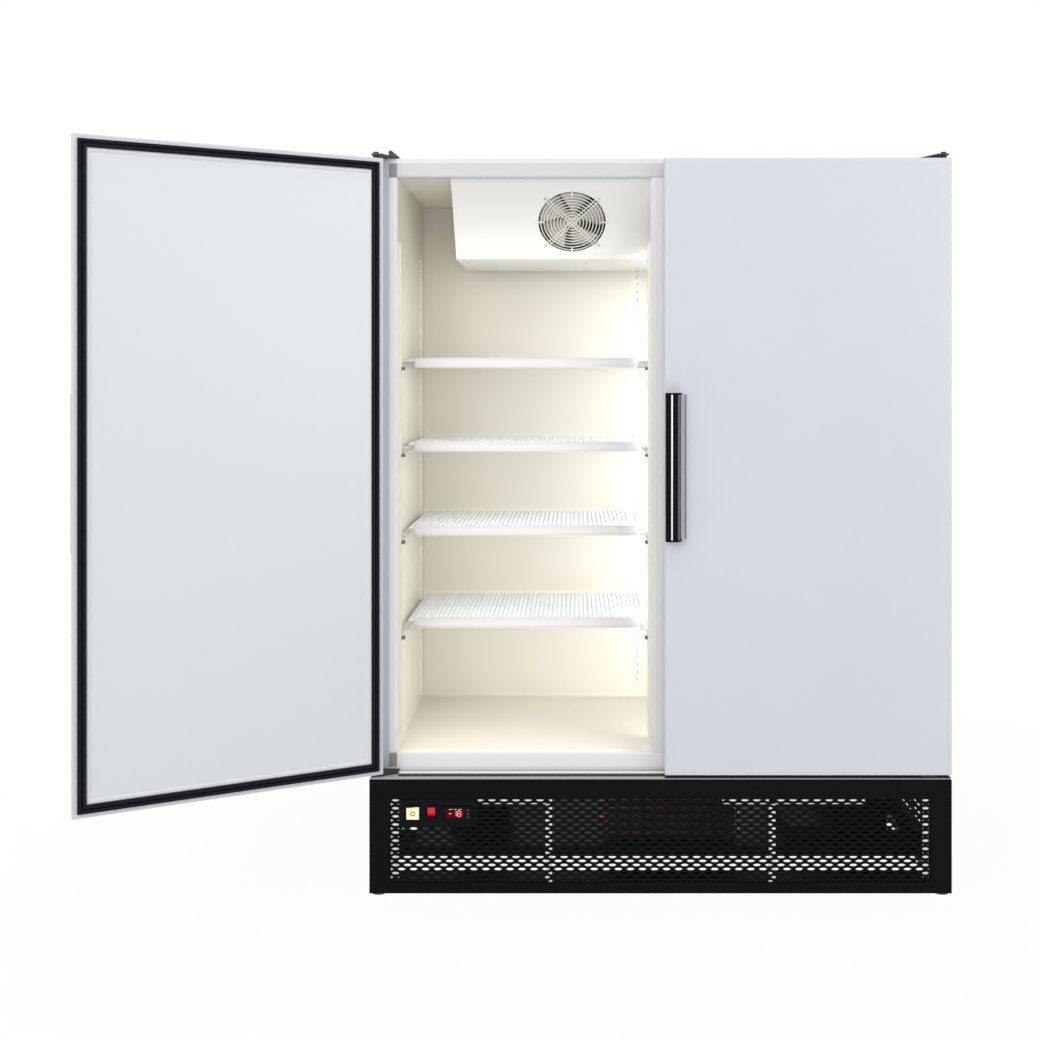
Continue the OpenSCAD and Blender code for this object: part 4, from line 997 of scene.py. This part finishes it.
# %% [markdown]
# ### Rotors
# Each rotor in the cover has five blades pressed from thin sheet, and the condenser's has four. They could
# be cut from a block, but a surface of two parameters, from hub to tip and from edge to edge, has the right
# thin edge and few faces once it is given the sheet's thickness. It is twisted less towards the tip. The
# hub and its shaft are turned.

# %% Blades
HUB_RADIUS = 0.021
HUB_MIDDLE = -0.026
HUB = [(0, -0.038), (0.021, -0.038), (0.022, -0.036), (0.022, -0.017), (0.0205, -0.0145), (0.012, -0.014),
       (0.0105, -0.0155), (0, -0.0155)]
SHAFT = [(0, -0.064), (0.0025, -0.064), (0.0025, -0.037), (0, -0.037)]
BLADE_COVER = 0.86
BLADE_SHEET = 0.0014
ROOT_PITCH, TIP_PITCH = math.radians(34), math.radians(17)
ROOT_SPREAD, SPREAD_TURN = 0.72, 0.62 * math.pi
SKEW, CAMBER = 0.16, 0.0035


def blade(tip, half_angle):
    """Point (r, s), r from hub to tip and s from edge to edge: it lies at angle s * spread(r) + skew * r
    round the axis, at height radius * spread * tan(pitch) * s, plus a camber that falls off as s squared."""
    r = np.linspace(0, 1, 9)[:, None]
    s = np.linspace(-1, 1, 11)[None, :]
    radius = HUB_RADIUS + (tip - HUB_RADIUS) * r + 0 * s
    spread = half_angle * (ROOT_SPREAD + (1 - ROOT_SPREAD) * np.sin(r * SPREAD_TURN))
    angle = s * spread + SKEW * r
    pitch = ROOT_PITCH + (TIP_PITCH - ROOT_PITCH) * r
    height = s * spread * radius * np.tan(pitch) + CAMBER * (1 - s**2)
    points = np.stack([radius * np.cos(angle), radius * np.sin(angle), height], axis=-1)
    return points, grid(*height.shape)


def rotor(name, node, spin, tip, count, material, origin=None):
    """Blades round a capped hub, on the shaft that the motor turns; the origin is the sheet in front."""
    origin = origin or spin["pos_m"]
    one = blade(tip, math.pi / count * BLADE_COVER)
    turns = np.arange(count) * 2 * np.pi / count
    parts = [placed(one, (0, 0, HUB_MIDDLE), x=(math.cos(a), math.sin(a), 0)) for a in turns]
    blades = new_piece(name + "_blades", placed(stack(*parts), origin, z=spin["axis"]), node, material)
    sheet_wall(blades, BLADE_SHEET)
    middle = placed(stack(turned(HUB), turned(SHAFT, 16)), origin, z=spin["axis"])
    new_piece(name + "_hub", middle, node, material)


# %% Three fans
for side, spin in evaporator_fans.items():
    rotor(f"{side}_rotor", f"evaporator_fan_{side}", spin, tip=0.094, count=5, material=blade_paint)
rear_spin = joints["condenser_fan_spin"]
SHEET_AHEAD = 0.014
rear_sheet = (rear_spin["pos_m"][0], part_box("condenser_fan")[0][1] - SHEET_AHEAD, rear_spin["pos_m"][2])
rotor("condenser_rotor", "condenser_fan", rear_spin, tip=0.096, count=4, material=fan_plastic,
      origin=rear_sheet)
print("fans made:", len(evaporator_fans) + 1)

# %% [markdown]
# ## The grille
# The machine compartment breathes through expanded metal: a sheet that is slit in staggered rows and
# pulled, so that it becomes wavy strands, each joined in turn to the one above and the one below.
# Each strand is a ribbon whose middle line swings up and down along X, and whose lower edge leans out.

# %% Strands
grille_low, grille_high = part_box("intake_grille")
plate_low, plate_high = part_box("control_plate")
MESH_PITCH = 0.033
MESH_ROW = 0.0111
STRAND_WIDTH = 0.0076
STRAND_SWING = 0.0018
STRAND_LEAN = 0.0016
STEPS_PER_SLOT = 12
MESH_SHEET = 0.0009
MESH_BORDER = 0.014
PLATE_LAP, EDGE_LAP = 0.004, 0.002


def strand_sheet():
    """Strand k runs at height (k + 1/2) * row + swing * wave(x), where the wave, a flattened cosine
    tanh(2 cos) / tanh 2, changes sign from one strand to the next."""
    middle = (grille_low[2] + grille_high[2]) / 2
    rows = round((grille_high[2] - grille_low[2]) / MESH_ROW / 2)
    k = np.arange(-rows, rows)[:, None, None]
    slots = math.floor((grille_high[0] - grille_low[0]) / MESH_PITCH)
    x = np.linspace(-0.5, 0.5, slots * STEPS_PER_SLOT + 1)[None, :, None] * slots * MESH_PITCH
    edge = np.linspace(-0.5, 0.5, 3)[None, None, :]
    wave = np.tanh(2 * np.cos(2 * np.pi * x / MESH_PITCH + np.pi * (k % 2))) / math.tanh(2)
    z = middle + (k + 0.5) * MESH_ROW + STRAND_SWING * wave + edge * STRAND_WIDTH
    y = (grille_low[1] + grille_high[1]) / 2 + edge * STRAND_LEAN
    points = np.stack(np.broadcast_arrays(x, y, z), axis=-1)
    count = points.shape[1]
    one = np.array(grid(count, 3))
    faces = np.concatenate([strand * count * 3 + one for strand in range(len(k))])
    centre = points.reshape(-1, 3)[faces].mean(axis=1)
    past_low, past_high = np.array(plate_low) + PLATE_LAP, np.array(plate_high) - PLATE_LAP
    behind_plate = np.all((centre > past_low) & (centre < past_high), axis=1, where=[True, False, True])
    inside = np.abs(centre[:, 2] - middle) < (grille_high[2] - grille_low[2]) / 2 - EDGE_LAP
    return points, faces[inside & ~behind_plate].tolist()


strands = new_piece("expanded_mesh", strand_sheet(), "intake_grille", mesh_paint)
sheet_wall(strands, MESH_SHEET)
print("faces in the strands:", len(strands.data.polygons))

# %% The grille's border
border_profile = [(0.0, grille_high[1] - MESH_SHEET), (0.0, grille_high[1]), (MESH_BORDER, grille_high[1]),
                  (MESH_BORDER, grille_high[1] - MESH_SHEET)]
border_shape = carried_round(border_profile, grille_low, grille_high, closed=True)
new_piece("mesh_border", border_shape, "intake_grille", mesh_paint, smooth=False)
print("grille:", round(grille_high[0] - grille_low[0], 3), "m wide")

# %% [markdown]
# ## Controls
# A moulded plate at the upper left of the grille carries a cream rocker for the light, a red one for
# the power, and a small controller with a red number on a dark window and three keys. Their plain solids
# only lack the rounded edges of a moulding, so a bevel is enough. The red lens is darker below and brighter
# above as painted light, as if lit from above, which a mask on the height gives without a lamp behind it.

# %% Plate, rockers and keys
CONTROL_EDGES = {"control_plate": 0.0006, "temperature_controller": 0.0009, "power_switch": 0.0004,
                 "light_switch": 0.0005, "set_key": 0.0005, "up_key": 0.0005, "down_key": 0.0005}
for node, width in CONTROL_EDGES.items():
    finer_copy(node, width)
print("controls:", len(CONTROL_EDGES))


# %% The red rocker
def painted_light_by_height(material, low, high, dark, light):
    """Painted light: colour and glow run from dark to light between two heights, as if lit from above."""
    tree = material.node_tree
    height = tree.nodes.new("ShaderNodeSeparateXYZ")
    tree.links.new(own_place(tree), height.inputs[0])
    share = ramp(tree, height.outputs["Z"], {"From Min": low, "From Max": high})
    colour = mixed(tree, share, (*dark, 1), (*light, 1))
    shader = tree.nodes["Principled BSDF"]
    tree.links.new(colour, shader.inputs["Base Color"])
    tree.links.new(colour, shader.inputs["Emission Color"])


red_low, red_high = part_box("power_switch")
red_middle = (red_low[2] + red_high[2]) / 2
DARK_BELOW, BRIGHT_ABOVE = 0.007, 0.004
dark_red, bright_red = (0.02, 0.001, 0.002), (0.70, 0.02, 0.05)
# Painted light: the red lens darker below and brighter above, as if lit from above.
painted_light_by_height(rocker_red, red_middle - DARK_BELOW, red_middle + BRIGHT_ABOVE, dark_red, bright_red)
print("red rocker:", round(red_high[2] - red_low[2], 4), "m high")

# %% [markdown]
# ### The display
# The display is a dark red window in front of the bars that light up. It could be glass with the bars
# behind it, but at this size a dark gloss with lit bars on it looks the same and has no noise in it.

# %% Window
controller_low, controller_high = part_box("temperature_controller")
controller_x = (controller_low[0] + controller_high[0]) / 2
controller_z = (controller_low[2] + controller_high[2]) / 2
WINDOW_SIZE = (0.0496, 0.0236)
WINDOW_DEPTH = 0.0008
WINDOW_LIFT = 0.00095
window_x = controller_x - 0.006
window_glass = moulded("display_window", (0.03, 0.001, 0.002), 0.25, grain=0.0, rubbed=0.02, **DULL,
                       **glow((1.0, 0.0, 0.01), 0.05))
lit_red = moulded("lit_red", (0.9, 0.05, 0.03), 0.4, rubbed=0.02, **glow((1.0, 0.22, 0.26), 1.6))
reflection_white = moulded("reflection_white", (0.80, 0.76, 0.76), 0.3, rubbed=0.05)


def rounded_block(size, depth, radius):
    """A flat block with rounded corners, lying on XY."""
    w, h = size[0] / 2, size[1] / 2
    return drawn_up(softened([(-w, -h), (w, -h), (w, h), (-w, h)], radius), 0, depth)


window_shape = placed(rounded_block(WINDOW_SIZE, WINDOW_DEPTH, 0.0012),
                      (window_x, controller_low[1] + WINDOW_LIFT, controller_z), z=(0, -1, 0))
new_piece("display_window", window_shape, "temperature_controller", window_glass, replaces=False)

# %% [markdown]
# ### The number
# Each digit of such a number is seven bars, between the points of a grid one wide and two high. A text
# object would need a font, and flat rods between those points have just the real form. Three pale dashes
# above the number are a painted reflection of light on the window's top edge. The number is a usual
# freezer temperature.

# %% Digits
BARS = {"top": ((0, 2), (1, 2)), "middle": ((0, 1), (1, 1)), "bottom": ((0, 0), (1, 0)),
        "upper_left": ((0, 1), (0, 2)), "lower_left": ((0, 0), (0, 1)),
        "upper_right": ((1, 1), (1, 2)), "lower_right": ((1, 0), (1, 1))}
SIGNS = [["middle"], ["upper_right", "lower_right"], list(BARS)]
DIGIT_WIDTH = 0.0085
DIGIT_HEIGHT = 0.0150
DIGIT_STEP = 0.0125
DIGIT_SHIFT = 1.1
BAR_SHORTENED = 0.12
BAR_RADIUS = 0.0010
BAR_FLATNESS = 0.25
BAR_LIFT = 0.0001


def digits():
    """Each lit bar is a flat rod between two grid points, drawn a little short of both."""
    starts, ends = [], []
    for place, bars in enumerate(SIGNS):
        left = window_x + (place - DIGIT_SHIFT) * DIGIT_STEP - DIGIT_WIDTH / 2
        for bar in bars:
            a, b = (np.array([left + u * DIGIT_WIDTH, 0, (v / 2 - 0.5) * DIGIT_HEIGHT])
                    for u, v in BARS[bar])
            starts.append(a + (b - a) * BAR_SHORTENED)
            ends.append(b - (b - a) * BAR_SHORTENED)
    points, faces = rods(starts, ends, BAR_RADIUS, 6, up=(0, 1, 0))
    origin = (0, controller_low[1] + BAR_LIFT, controller_z)
    return np.reshape(points, (-1, 3)) * (1, BAR_FLATNESS, 1) + origin, faces


new_piece("display_digits", digits(), "temperature_controller", lit_red, replaces=False)
print("signs on the display:", len(SIGNS))

# %% Painted reflection above the number
# Painted reflection: three pale dashes stand in for light reflected on the window's top edge.
DASH_LENGTH, DASH_DEPTH = 0.0095, 0.001
DASH_BELOW, DASH_ABOVE = 0.0006, 0.0018
dash_x = window_x + np.array([-0.017, -0.004, 0.009])
dash_z = controller_z + WINDOW_SIZE[1] / 2
dash_low = points_at(dash_x, controller_low[1], dash_z - DASH_BELOW)
dash_high = points_at(dash_x + DASH_LENGTH, controller_low[1] + DASH_DEPTH, dash_z + DASH_ABOVE)
new_piece("reflection_dashes", blocks(dash_low, dash_high), "temperature_controller", reflection_white,
          replaces=False)
print("reflection dashes:", len(dash_x))

# %% [markdown]
# ### The ring on the cream rocker
# The cream rocker has a dark mark printed on it. A thin raised mesh would catch the light at its edge, so
# the mark is a mask on the colour, which lies flat as ink does.

# %% Printed ring
def print_ring(material, centre, radius, width, dark):
    """A ring printed on a face that looks forward: dark where the distance from the centre, as seen from
    the front, is within half the width of the radius."""
    tree = material.node_tree
    shader = tree.nodes["Principled BSDF"]
    offset = vectors(tree, "SUBTRACT", own_place(tree), centre)
    distance = vectors(tree, "LENGTH", vectors(tree, "MULTIPLY", offset, (1, 0, 1)))
    away = calculate(tree, "ABSOLUTE", calculate(tree, "SUBTRACT", distance, radius))
    printed = calculate(tree, "LESS_THAN", away, width / 2)
    colour = mixed(tree, printed, shader.inputs["Base Color"].links[0].from_socket, (*dark, 1))
    tree.links.new(colour, shader.inputs["Base Color"])
    tree.links.new(colour, shader.inputs["Emission Color"])


RING_RADIUS, RING_WIDTH = 0.0056, 0.0026
switch_low, switch_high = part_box("light_switch")
switch_middle = [(low + high) / 2 for low, high in zip(switch_low, switch_high)]
ring_centre = (switch_middle[0], 0, switch_middle[2])
print_ring(rocker_cream, ring_centre, RING_RADIUS, RING_WIDTH, (0.10, 0.06, 0.02))
print("ring:", round(2000 * RING_RADIUS, 1), "mm across")

# %% [markdown]
# ## Fasteners
# Screws hold the guards, the cover and the fascia. A screw's head is a turned dome with a dark cross on
# it, which is simpler than a cut recess and reads the same. Screws are small, but they are what tells the
# eye how large the rest is.

# %% Screws
SCREW_RADIUS = 0.004
DOME_FOOT, DOME_RISE = 0.15, 0.38
CROSS_REACH, CROSS_WIDTH, CROSS_HEIGHT, CROSS_FLATNESS = 0.55, 0.1, 0.54, 0.3


def screw_head(place, outward, radius):
    """A low turned dome on the surface at a place, facing outward; all of it in shares of its radius."""
    t = np.linspace(0, math.pi / 2, 6)
    dome = np.column_stack([radius * np.cos(t), radius * DOME_FOOT + radius * DOME_RISE * np.sin(t)])
    profile = np.concatenate([[(0, -radius * 0.2), (radius, -radius * 0.2)], dome])
    return placed(turned(profile, 20), place, z=outward)


def cross_recess(place, outward, radius):
    """Two crossed bars laid just into a dome's top."""
    half = radius * CROSS_REACH
    starts, ends = [(-half, 0, 0), (0, -half, 0)], [(half, 0, 0), (0, half, 0)]
    points, faces = rods(starts, ends, radius * CROSS_WIDTH, 4)
    points = np.reshape(points, (-1, 3)) * (1, 1, CROSS_FLATNESS) + (0, 0, radius * CROSS_HEIGHT)
    return placed((points, faces), place, z=outward)


def screws(name, node, places, outward, material, radius=SCREW_RADIUS):
    """A set of screw heads on one part, and the dark crosses in them."""
    heads = stack(*[screw_head(place, outward, radius) for place in places])
    crosses = stack(*[cross_recess(place, outward, radius) for place in places])
    new_piece(name, heads, node, material, replaces=False)
    new_piece(name + "_recess", crosses, node, black_paint, replaces=False)
    print(name + ":", len(places))


# %% Screws of the guards
SCREW_CIRCLE = GUARD_RADIUS + 0.007
guard_screws = []
for spin in evaporator_fans.values():
    out = np.array(spin["axis"], float)
    across, upward = np.array([1.0, 0, 0]), np.cross(out, (1.0, 0, 0))
    for corner in np.arange(4) * math.pi / 2 + math.pi / 4:
        offset = (across * math.cos(corner) + upward * math.sin(corner)) * SCREW_CIRCLE
        guard_screws.append(np.array(spin["pos_m"]) + offset)
screws("guard_screws", "fan_guards", guard_screws, evaporator_fans["left"]["axis"], zinc)

# %% Screws of the fascia, the control plate and the cover
FASCIA_PLACES = [(-0.772, 0.288), (-0.772, 0.022), (0.772, 0.288), (0.772, 0.022),
                 (-0.26, 0.29), (-0.26, 0.02), (0.26, 0.29), (0.26, 0.02)]
fascia_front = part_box("fascia")[0][1]
screws("fascia_screws", "fascia", [(x, fascia_front, z) for x, z in FASCIA_PLACES], (0, -1, 0), black_paint)
CORNER_INSET, PLATE_SUNK = 0.008, 0.004
plate_places = [(x, plate_low[1] + PLATE_SUNK, z)
                for x in (plate_low[0] + CORNER_INSET, plate_high[0] - CORNER_INSET)
                for z in (plate_low[2] + CORNER_INSET, plate_high[2] - CORNER_INSET)]
screws("plate_screws", "control_plate", plate_places, (0, -1, 0), black_paint, radius=0.003)
cover_low, cover_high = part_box("evaporator_cover")
cover_middle = (cover_low[1] + cover_high[1]) / 2
cover_places = [(x, cover_middle + dy, cover_low[2]) for x in (-0.56, -0.2, 0.2, 0.56) for dy in (0, 0.2)]
screws("cover_screws", "evaporator_cover", cover_places, (0, 0, -1), zinc)

# %% [markdown]
# ### Hinges
# The top hinges are bent plates held by two bolts each, with a washer under the head. A six-sided turned
# form with a broken edge gives a hexagon head without any cutting, and the plates get rounded edges.

# %% Hinge bolts and plates
HEX_HEAD = [(0, 0), (0.0062, 0), (0.0062, 0.0032), (0.0054, 0.0042), (0, 0.0042)]
WASHER = [(0, -0.0002), (0.0085, -0.0002), (0.0085, 0.0010), (0, 0.0010)]
BOLT_PLACES = ((0.055, -0.262), (0.018, -0.256))
HINGE_PLATE = 0.0042
hinge_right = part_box("top_hinges")[1][0]
plate_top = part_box("top_panel")[1][2] + HINGE_PLATE
bolt_shapes = [
    placed(shape, (side * (hinge_right - inset), y, plate_top))
    for side in (-1, 1) for inset, y in BOLT_PLACES
    for shape in (turned(HEX_HEAD, 6), turned(WASHER, 28))
]
new_piece("hinge_bolts", stack(*bolt_shapes), "top_hinges", zinc, replaces=False)
finer_copy("top_hinges", 0.0006)
finer_copy("bottom_hinges", 0.0006)
print("bolts:", len(bolt_shapes) // 2)

# %% [markdown]
# ## Machine compartment
# Behind the grille stand the compressor, a drawn steel shell with a welded seam round its middle, and
# the condenser, a block of thin dark fins on copper tubes. Real fins are far too thin for the plain
# model, so they are made here, each one a sheet.

# %% Fins, tubes and bends
TUBE_RADIUS = 0.0042
FIN_SHEET, PLATE_SHEET = 0.0004, 0.0015
FIN_INSET, PLATE_INSET, STRAIGHT_INSET, BEND_INSET = 0.012, 0.009, 0.004, 0.008
BEND_SHARE = 0.98


def bend(centre, radius, side):
    """Half a ring of tube in the XZ plane, which joins two tubes at a coil's end."""
    turn = np.linspace(-math.pi / 2, math.pi / 2, 9)
    path = np.column_stack([side * np.cos(turn), 0 * turn, np.sin(turn)]) * radius + centre
    return tube(path, TUBE_RADIUS, up=(0, 1, 0))


def finned(low, high, fin_step, rows, row_gap):
    """Sheets along X, straight tubes through them, and bends at both ends; fins and tubes apart."""
    x = np.arange(low[0] + FIN_INSET, high[0] - FIN_INSET, fin_step)
    fins = blocks(points_at(x, low[1], low[2]), points_at(x + FIN_SHEET, high[1], high[2]))
    plate_x = np.array([low[0] + PLATE_INSET, high[0] - PLATE_INSET - PLATE_SHEET])
    plates = blocks(points_at(plate_x, low[1], low[2]), points_at(plate_x + PLATE_SHEET, high[1], high[2]))
    z = np.arange(low[2] + row_gap / 2, high[2] - row_gap / 4, row_gap)
    middles = z[:-1] + row_gap / 2
    y = np.linspace(low[1], high[1], rows + 2)[1:-1]
    tube_y, tube_z = (place.ravel() for place in np.meshgrid(y, z, indexing="ij"))
    straight = rods(points_at(low[0] + STRAIGHT_INSET, tube_y, tube_z),
                    points_at(high[0] - STRAIGHT_INSET, tube_y, tube_z), TUBE_RADIUS, 8)
    radius = row_gap / 2 * BEND_SHARE
    bends = [bend((high[0] - BEND_INSET, row, level), radius, 1) for row in y for level in middles[::2]]
    bends += [bend((low[0] + BEND_INSET, row, level), radius, -1) for row in y for level in middles[1::2]]
    return stack(fins, plates), stack(straight, *bends)


# %% The condenser
LEG_WIDTH, LEG_HEIGHT, LEG_INSET, LEG_SIDE = 0.020, 0.012, 0.006, 0.014
coil_low, coil_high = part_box("condenser_coil")
leg_x = np.array([coil_low[0] + LEG_SIDE, coil_high[0] - LEG_SIDE - LEG_WIDTH])
legs = blocks(points_at(leg_x, coil_low[1] + LEG_INSET, coil_low[2]),
              points_at(leg_x + LEG_WIDTH, coil_high[1] - LEG_INSET, coil_low[2] + LEG_HEIGHT))
fins_low = (coil_low[0], coil_low[1], coil_low[2] + LEG_HEIGHT / 2)
fins, tubes = finned(fins_low, coil_high, fin_step=0.0032, rows=2, row_gap=0.025)
new_piece("condenser_fins", stack(fins, legs), "condenser_coil", dark_fins, smooth=False)
new_piece("condenser_tubes", tubes, "condenser_coil", copper)
print("condenser:", round(coil_high[2] - coil_low[2], 3), "m high")

# %% The evaporator
HANGER_WIDTH, HANGER_DEPTH, HANGER_RISE, HANGER_FRONT, HANGER_LAP = 0.020, 0.060, 0.022, 0.020, 0.002
coil_low, coil_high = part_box("evaporator_coil")
fins_high = (coil_high[0], coil_high[1], coil_high[2] - HANGER_RISE)
fins, tubes = finned(coil_low, fins_high, fin_step=0.0075, rows=3, row_gap=0.032)
hanger_x = np.array([coil_low[0] + 0.094, coil_high[0] - 0.125])
hanger_y = coil_low[1] + HANGER_FRONT
hangers = blocks(points_at(hanger_x, hanger_y, fins_high[2] - HANGER_LAP),
                 points_at(hanger_x + HANGER_WIDTH, hanger_y + HANGER_DEPTH, coil_high[2]))
new_piece("evaporator_fins", stack(fins, hangers), "evaporator_coil", aluminium, smooth=False)
new_piece("evaporator_tubes", tubes, "evaporator_coil", copper)
print("evaporator:", round(coil_high[0] - coil_low[0], 3), "m long")

# %% [markdown]
# ### The compressor
# The shell is two drawn halves, welded round the middle where they overlap. One turned profile gives the
# whole of it, seam and crown included. Rubber feet carry its base plate, and a cover hides the terminals.

# %% Compressor
CAN_RADIUS = 0.088
BASE_REACH, BASE_SHEET, BASE_HEIGHT = (0.096, 0.050), 0.004, 0.012
SEAM_HEIGHT = 0.088
SHOULDER_WIDTH, SHOULDER_RISE, SHOULDER_DROP = 0.020, 0.022, 0.034
TERMINAL_COVER, COVER_RISE, COVER_X, COVER_Z = (0.034, 0.060), 0.062, 0.093, 0.045
FOOT_SPAN = (0.084, 0.04)
FOOT = [(0, 0), (0.013, 0), (0.0135, 0.002), (0.010, 0.005), (0.0135, 0.008), (0.012, 0.0125), (0, 0.0125)]
can_low, can_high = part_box("compressor")
can_x, can_y = can_low[0] + BASE_REACH[0], (can_low[1] + can_high[1]) / 2
base_z, top_z = can_low[2] + BASE_HEIGHT, can_high[2]
seam_z, base_top = base_z + SEAM_HEIGHT, base_z + BASE_SHEET
t = np.linspace(0, math.pi / 2, 10)
dome = np.column_stack([CAN_RADIUS - SHOULDER_WIDTH * (1 - np.cos(t)),
                        top_z - SHOULDER_DROP + SHOULDER_RISE * np.sin(t)])
crown = [(0.045, top_z - 0.006), (0.02, top_z - 0.001), (0, top_z)]
can_profile = np.concatenate([
    [(0, base_top), (CAN_RADIUS - 0.012, base_top), (CAN_RADIUS - 0.002, base_z + 0.012),
     (CAN_RADIUS - 0.002, seam_z - 0.004), (CAN_RADIUS, seam_z - 0.002), (CAN_RADIUS, seam_z + 0.002),
     (CAN_RADIUS - 0.003, seam_z + 0.004)],
    dome - (0.003, 0), crown,
])
can = placed(turned(can_profile, 64), (can_x, can_y, 0))
plate = blocks((can_x - BASE_REACH[0], can_y - BASE_REACH[1], base_z),
               (can_x + BASE_REACH[0], can_y + BASE_REACH[1], base_top))
cover_block = rounded_block(TERMINAL_COVER, COVER_RISE, 0.006)
cover = placed(cover_block, (can_x + COVER_X, can_y, base_z + COVER_Z))
new_piece("compressor_shell", stack(can, plate, cover), "compressor", black_paint)
feet = [placed(turned(FOOT, 24), (can_x + x * FOOT_SPAN[0], can_y + y * FOOT_SPAN[1], can_low[2]))
        for x in (-1, 1) for y in (-1, 1)]
new_piece("compressor_feet", stack(*feet), "compressor", foot_rubber)
print("compressor:", round(top_z - base_z, 3), "m high")

# %% [markdown]
# ## Smaller touches on the frame's own parts
# Some plain parts only need the edges that a press brake or a mould would leave. They could be rounded in
# the plain model, but a bevel on a joined copy is quicker and keeps the model's own mesh as it is.

# %% Rounded edges
EDGE_WIDTHS = {
    "fascia": 0.0007, "hinge_rail": 0.0006, "electrical_box": 0.0015, "cable_gland": 0.0006,
    "lamp_housing": 0.0015, "evaporation_tray": 0.0009, "left_side_panel": 0.0004,
    "right_side_panel": 0.0004, "top_panel": 0.0004,
}
for node, width in EDGE_WIDTHS.items():
    finer_copy(node, width)
print("parts with rounded edges:", len(EDGE_WIDTHS))

# %% [markdown]
# ### Corner blocks
# The strips round the opening meet in moulded corner blocks of a greyer plastic. The strip along the top
# is darker than the others as painted shade. It is all one part, so its faces get their finish by their
# place.

# %% Corner blocks and the painted shade on the top strip
corner_plastic = moulded("corner_grey", (0.30, 0.32, 0.33), 0.5)
# Painted shade: the top strip takes a darker copy of the strip's plastic.
header_shade_plastic = painted("header_painted_shade", (0.66, 0.66, 0.67), 0.4, patches=0.02)
opening_low, opening_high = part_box("thermal_break")
break_mesh = nodes["thermal_break"].data
break_mesh.materials.append(header_shade_plastic)
break_mesh.materials.append(corner_plastic)
centres = np.empty(len(break_mesh.polygons) * 3)
break_mesh.polygons.foreach_get("center", centres)
x, y, z = (centres.reshape(-1, 3) - (0, 0, (opening_low[2] + opening_high[2]) / 2)).T
half_height = (opening_high[2] - opening_low[2]) / 2
HEADER_HEIGHT = 0.039
CORNER_WIDTH, CORNER_HEIGHT = 0.0219, 0.0389
in_shaded_header = z > half_height - HEADER_HEIGHT
in_corner = (np.abs(x) > opening_high[0] - CORNER_WIDTH) & (np.abs(z) > half_height - CORNER_HEIGHT)
break_mesh.polygons.foreach_set("material_index", np.where(in_corner, 2, in_shaded_header).astype(np.int32))
print("corner faces:", int(in_corner.sum()))

# %% [markdown]
# ### Pale strips behind the grille
# Pale strips stand close behind the grille and show through it as pale dots: two uprights, one on the turned
# edge near each end, and two under the top. The two near the ends are painted light, for the light on the
# insides of the side panels. Flat strips on the base frame are enough, because only their front faces are
# ever seen.

# %% Pale strips, two of them painted light
UPRIGHT_STRIP_X, UPRIGHT_HALF_WIDTH = 0.306, 0.009
FLANGE_X = 0.728
CEILING_DROP = 0.026
STRIP_BACK, STRIP_FRONT = 0.0008, 0.0001
frame_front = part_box("base_frame")[0][1]
top_z = grille_high[2] - 0.001
strips = [(x - UPRIGHT_HALF_WIDTH, x + UPRIGHT_HALF_WIDTH, grille_low[2] + 0.013, top_z) for x in (-UPRIGHT_STRIP_X, UPRIGHT_STRIP_X)]
strips += [(-FLANGE_X - 0.013, -FLANGE_X + 0.011, grille_low[2] + 0.02, top_z - 0.005),
           (FLANGE_X - 0.010, FLANGE_X + 0.006, grille_low[2] + 0.02, top_z - 0.005),
           (-0.500, -UPRIGHT_STRIP_X, top_z - CEILING_DROP, top_z), (0.170, 0.560, top_z - CEILING_DROP, top_z)]
pale_low = [(x0, frame_front - STRIP_FRONT, z0) for x0, x1, z0, z1 in strips]
pale_high = [(x1, frame_front + STRIP_BACK, z1) for x0, x1, z0, z1 in strips]
# Painted light: the strips near the ends stand in for light on the insides of the side panels.
pale_sheet_and_painted_light = painted("pale_sheet_and_painted_light", (0.80, 0.80, 0.78), 0.4)
new_piece("pale_strip_faces", blocks(pale_low, pale_high), "base_frame", pale_sheet_and_painted_light, smooth=False, replaces=False)
print("bright strips:", len(strips))

# %% [markdown]
# ### The ledge under the doors
# The rail on top of the base has a white lip against the cabinet. In front of it a dark strip is the
# painted shade of a groove, and a dark strip along the front edge below the right door is that door's
# painted shadow. They could be finishes on the rail's own faces, but these don't end where the colours do.
# Each is a thin strip on the rail, a hair proud of it, so that no two faces lie in one plane.

# %% Strips on the ledge
rail_low, rail_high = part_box("hinge_rail")
RAIL_REACH = 0.722
DOOR_START = 0.012
lip_white = painted("rail_lip", (0.90, 0.90, 0.90), 0.35, patches=0.02)
# Painted shade: this dark finish stands in for the shade in the groove and under the right door.
gap_shade_dark = moulded("rail_groove", (0.05, 0.05, 0.052), 0.6, rubbed=0.1, **DULL)
# Name, ends along X, near and far side from the rail's front, depth below and height above its top
STRIPS = (
    ("rail_lip", (-RAIL_REACH, RAIL_REACH), (0.034, 0.051), (0.0002, 0.0014), lip_white),
    ("rail_groove", (-RAIL_REACH, RAIL_REACH), (0.011, 0.0335), (0.0002, 0.0003), gap_shade_dark),
    ("rail_dark_edge", (DOOR_START, rail_high[0]), (-0.0002, 0.0105), (0.0016, 0.0003), gap_shade_dark),
)
for name, ends, sides, heights, material in STRIPS:
    strip = blocks((ends[0], rail_low[1] + sides[0], rail_high[2] - heights[0]),
                   (ends[1], rail_low[1] + sides[1], rail_high[2] + heights[1]))
    new_piece(name, strip, "hinge_rail", material, smooth=False, replaces=False)
print("strips on the ledge:", len(STRIPS))

# %% Last step
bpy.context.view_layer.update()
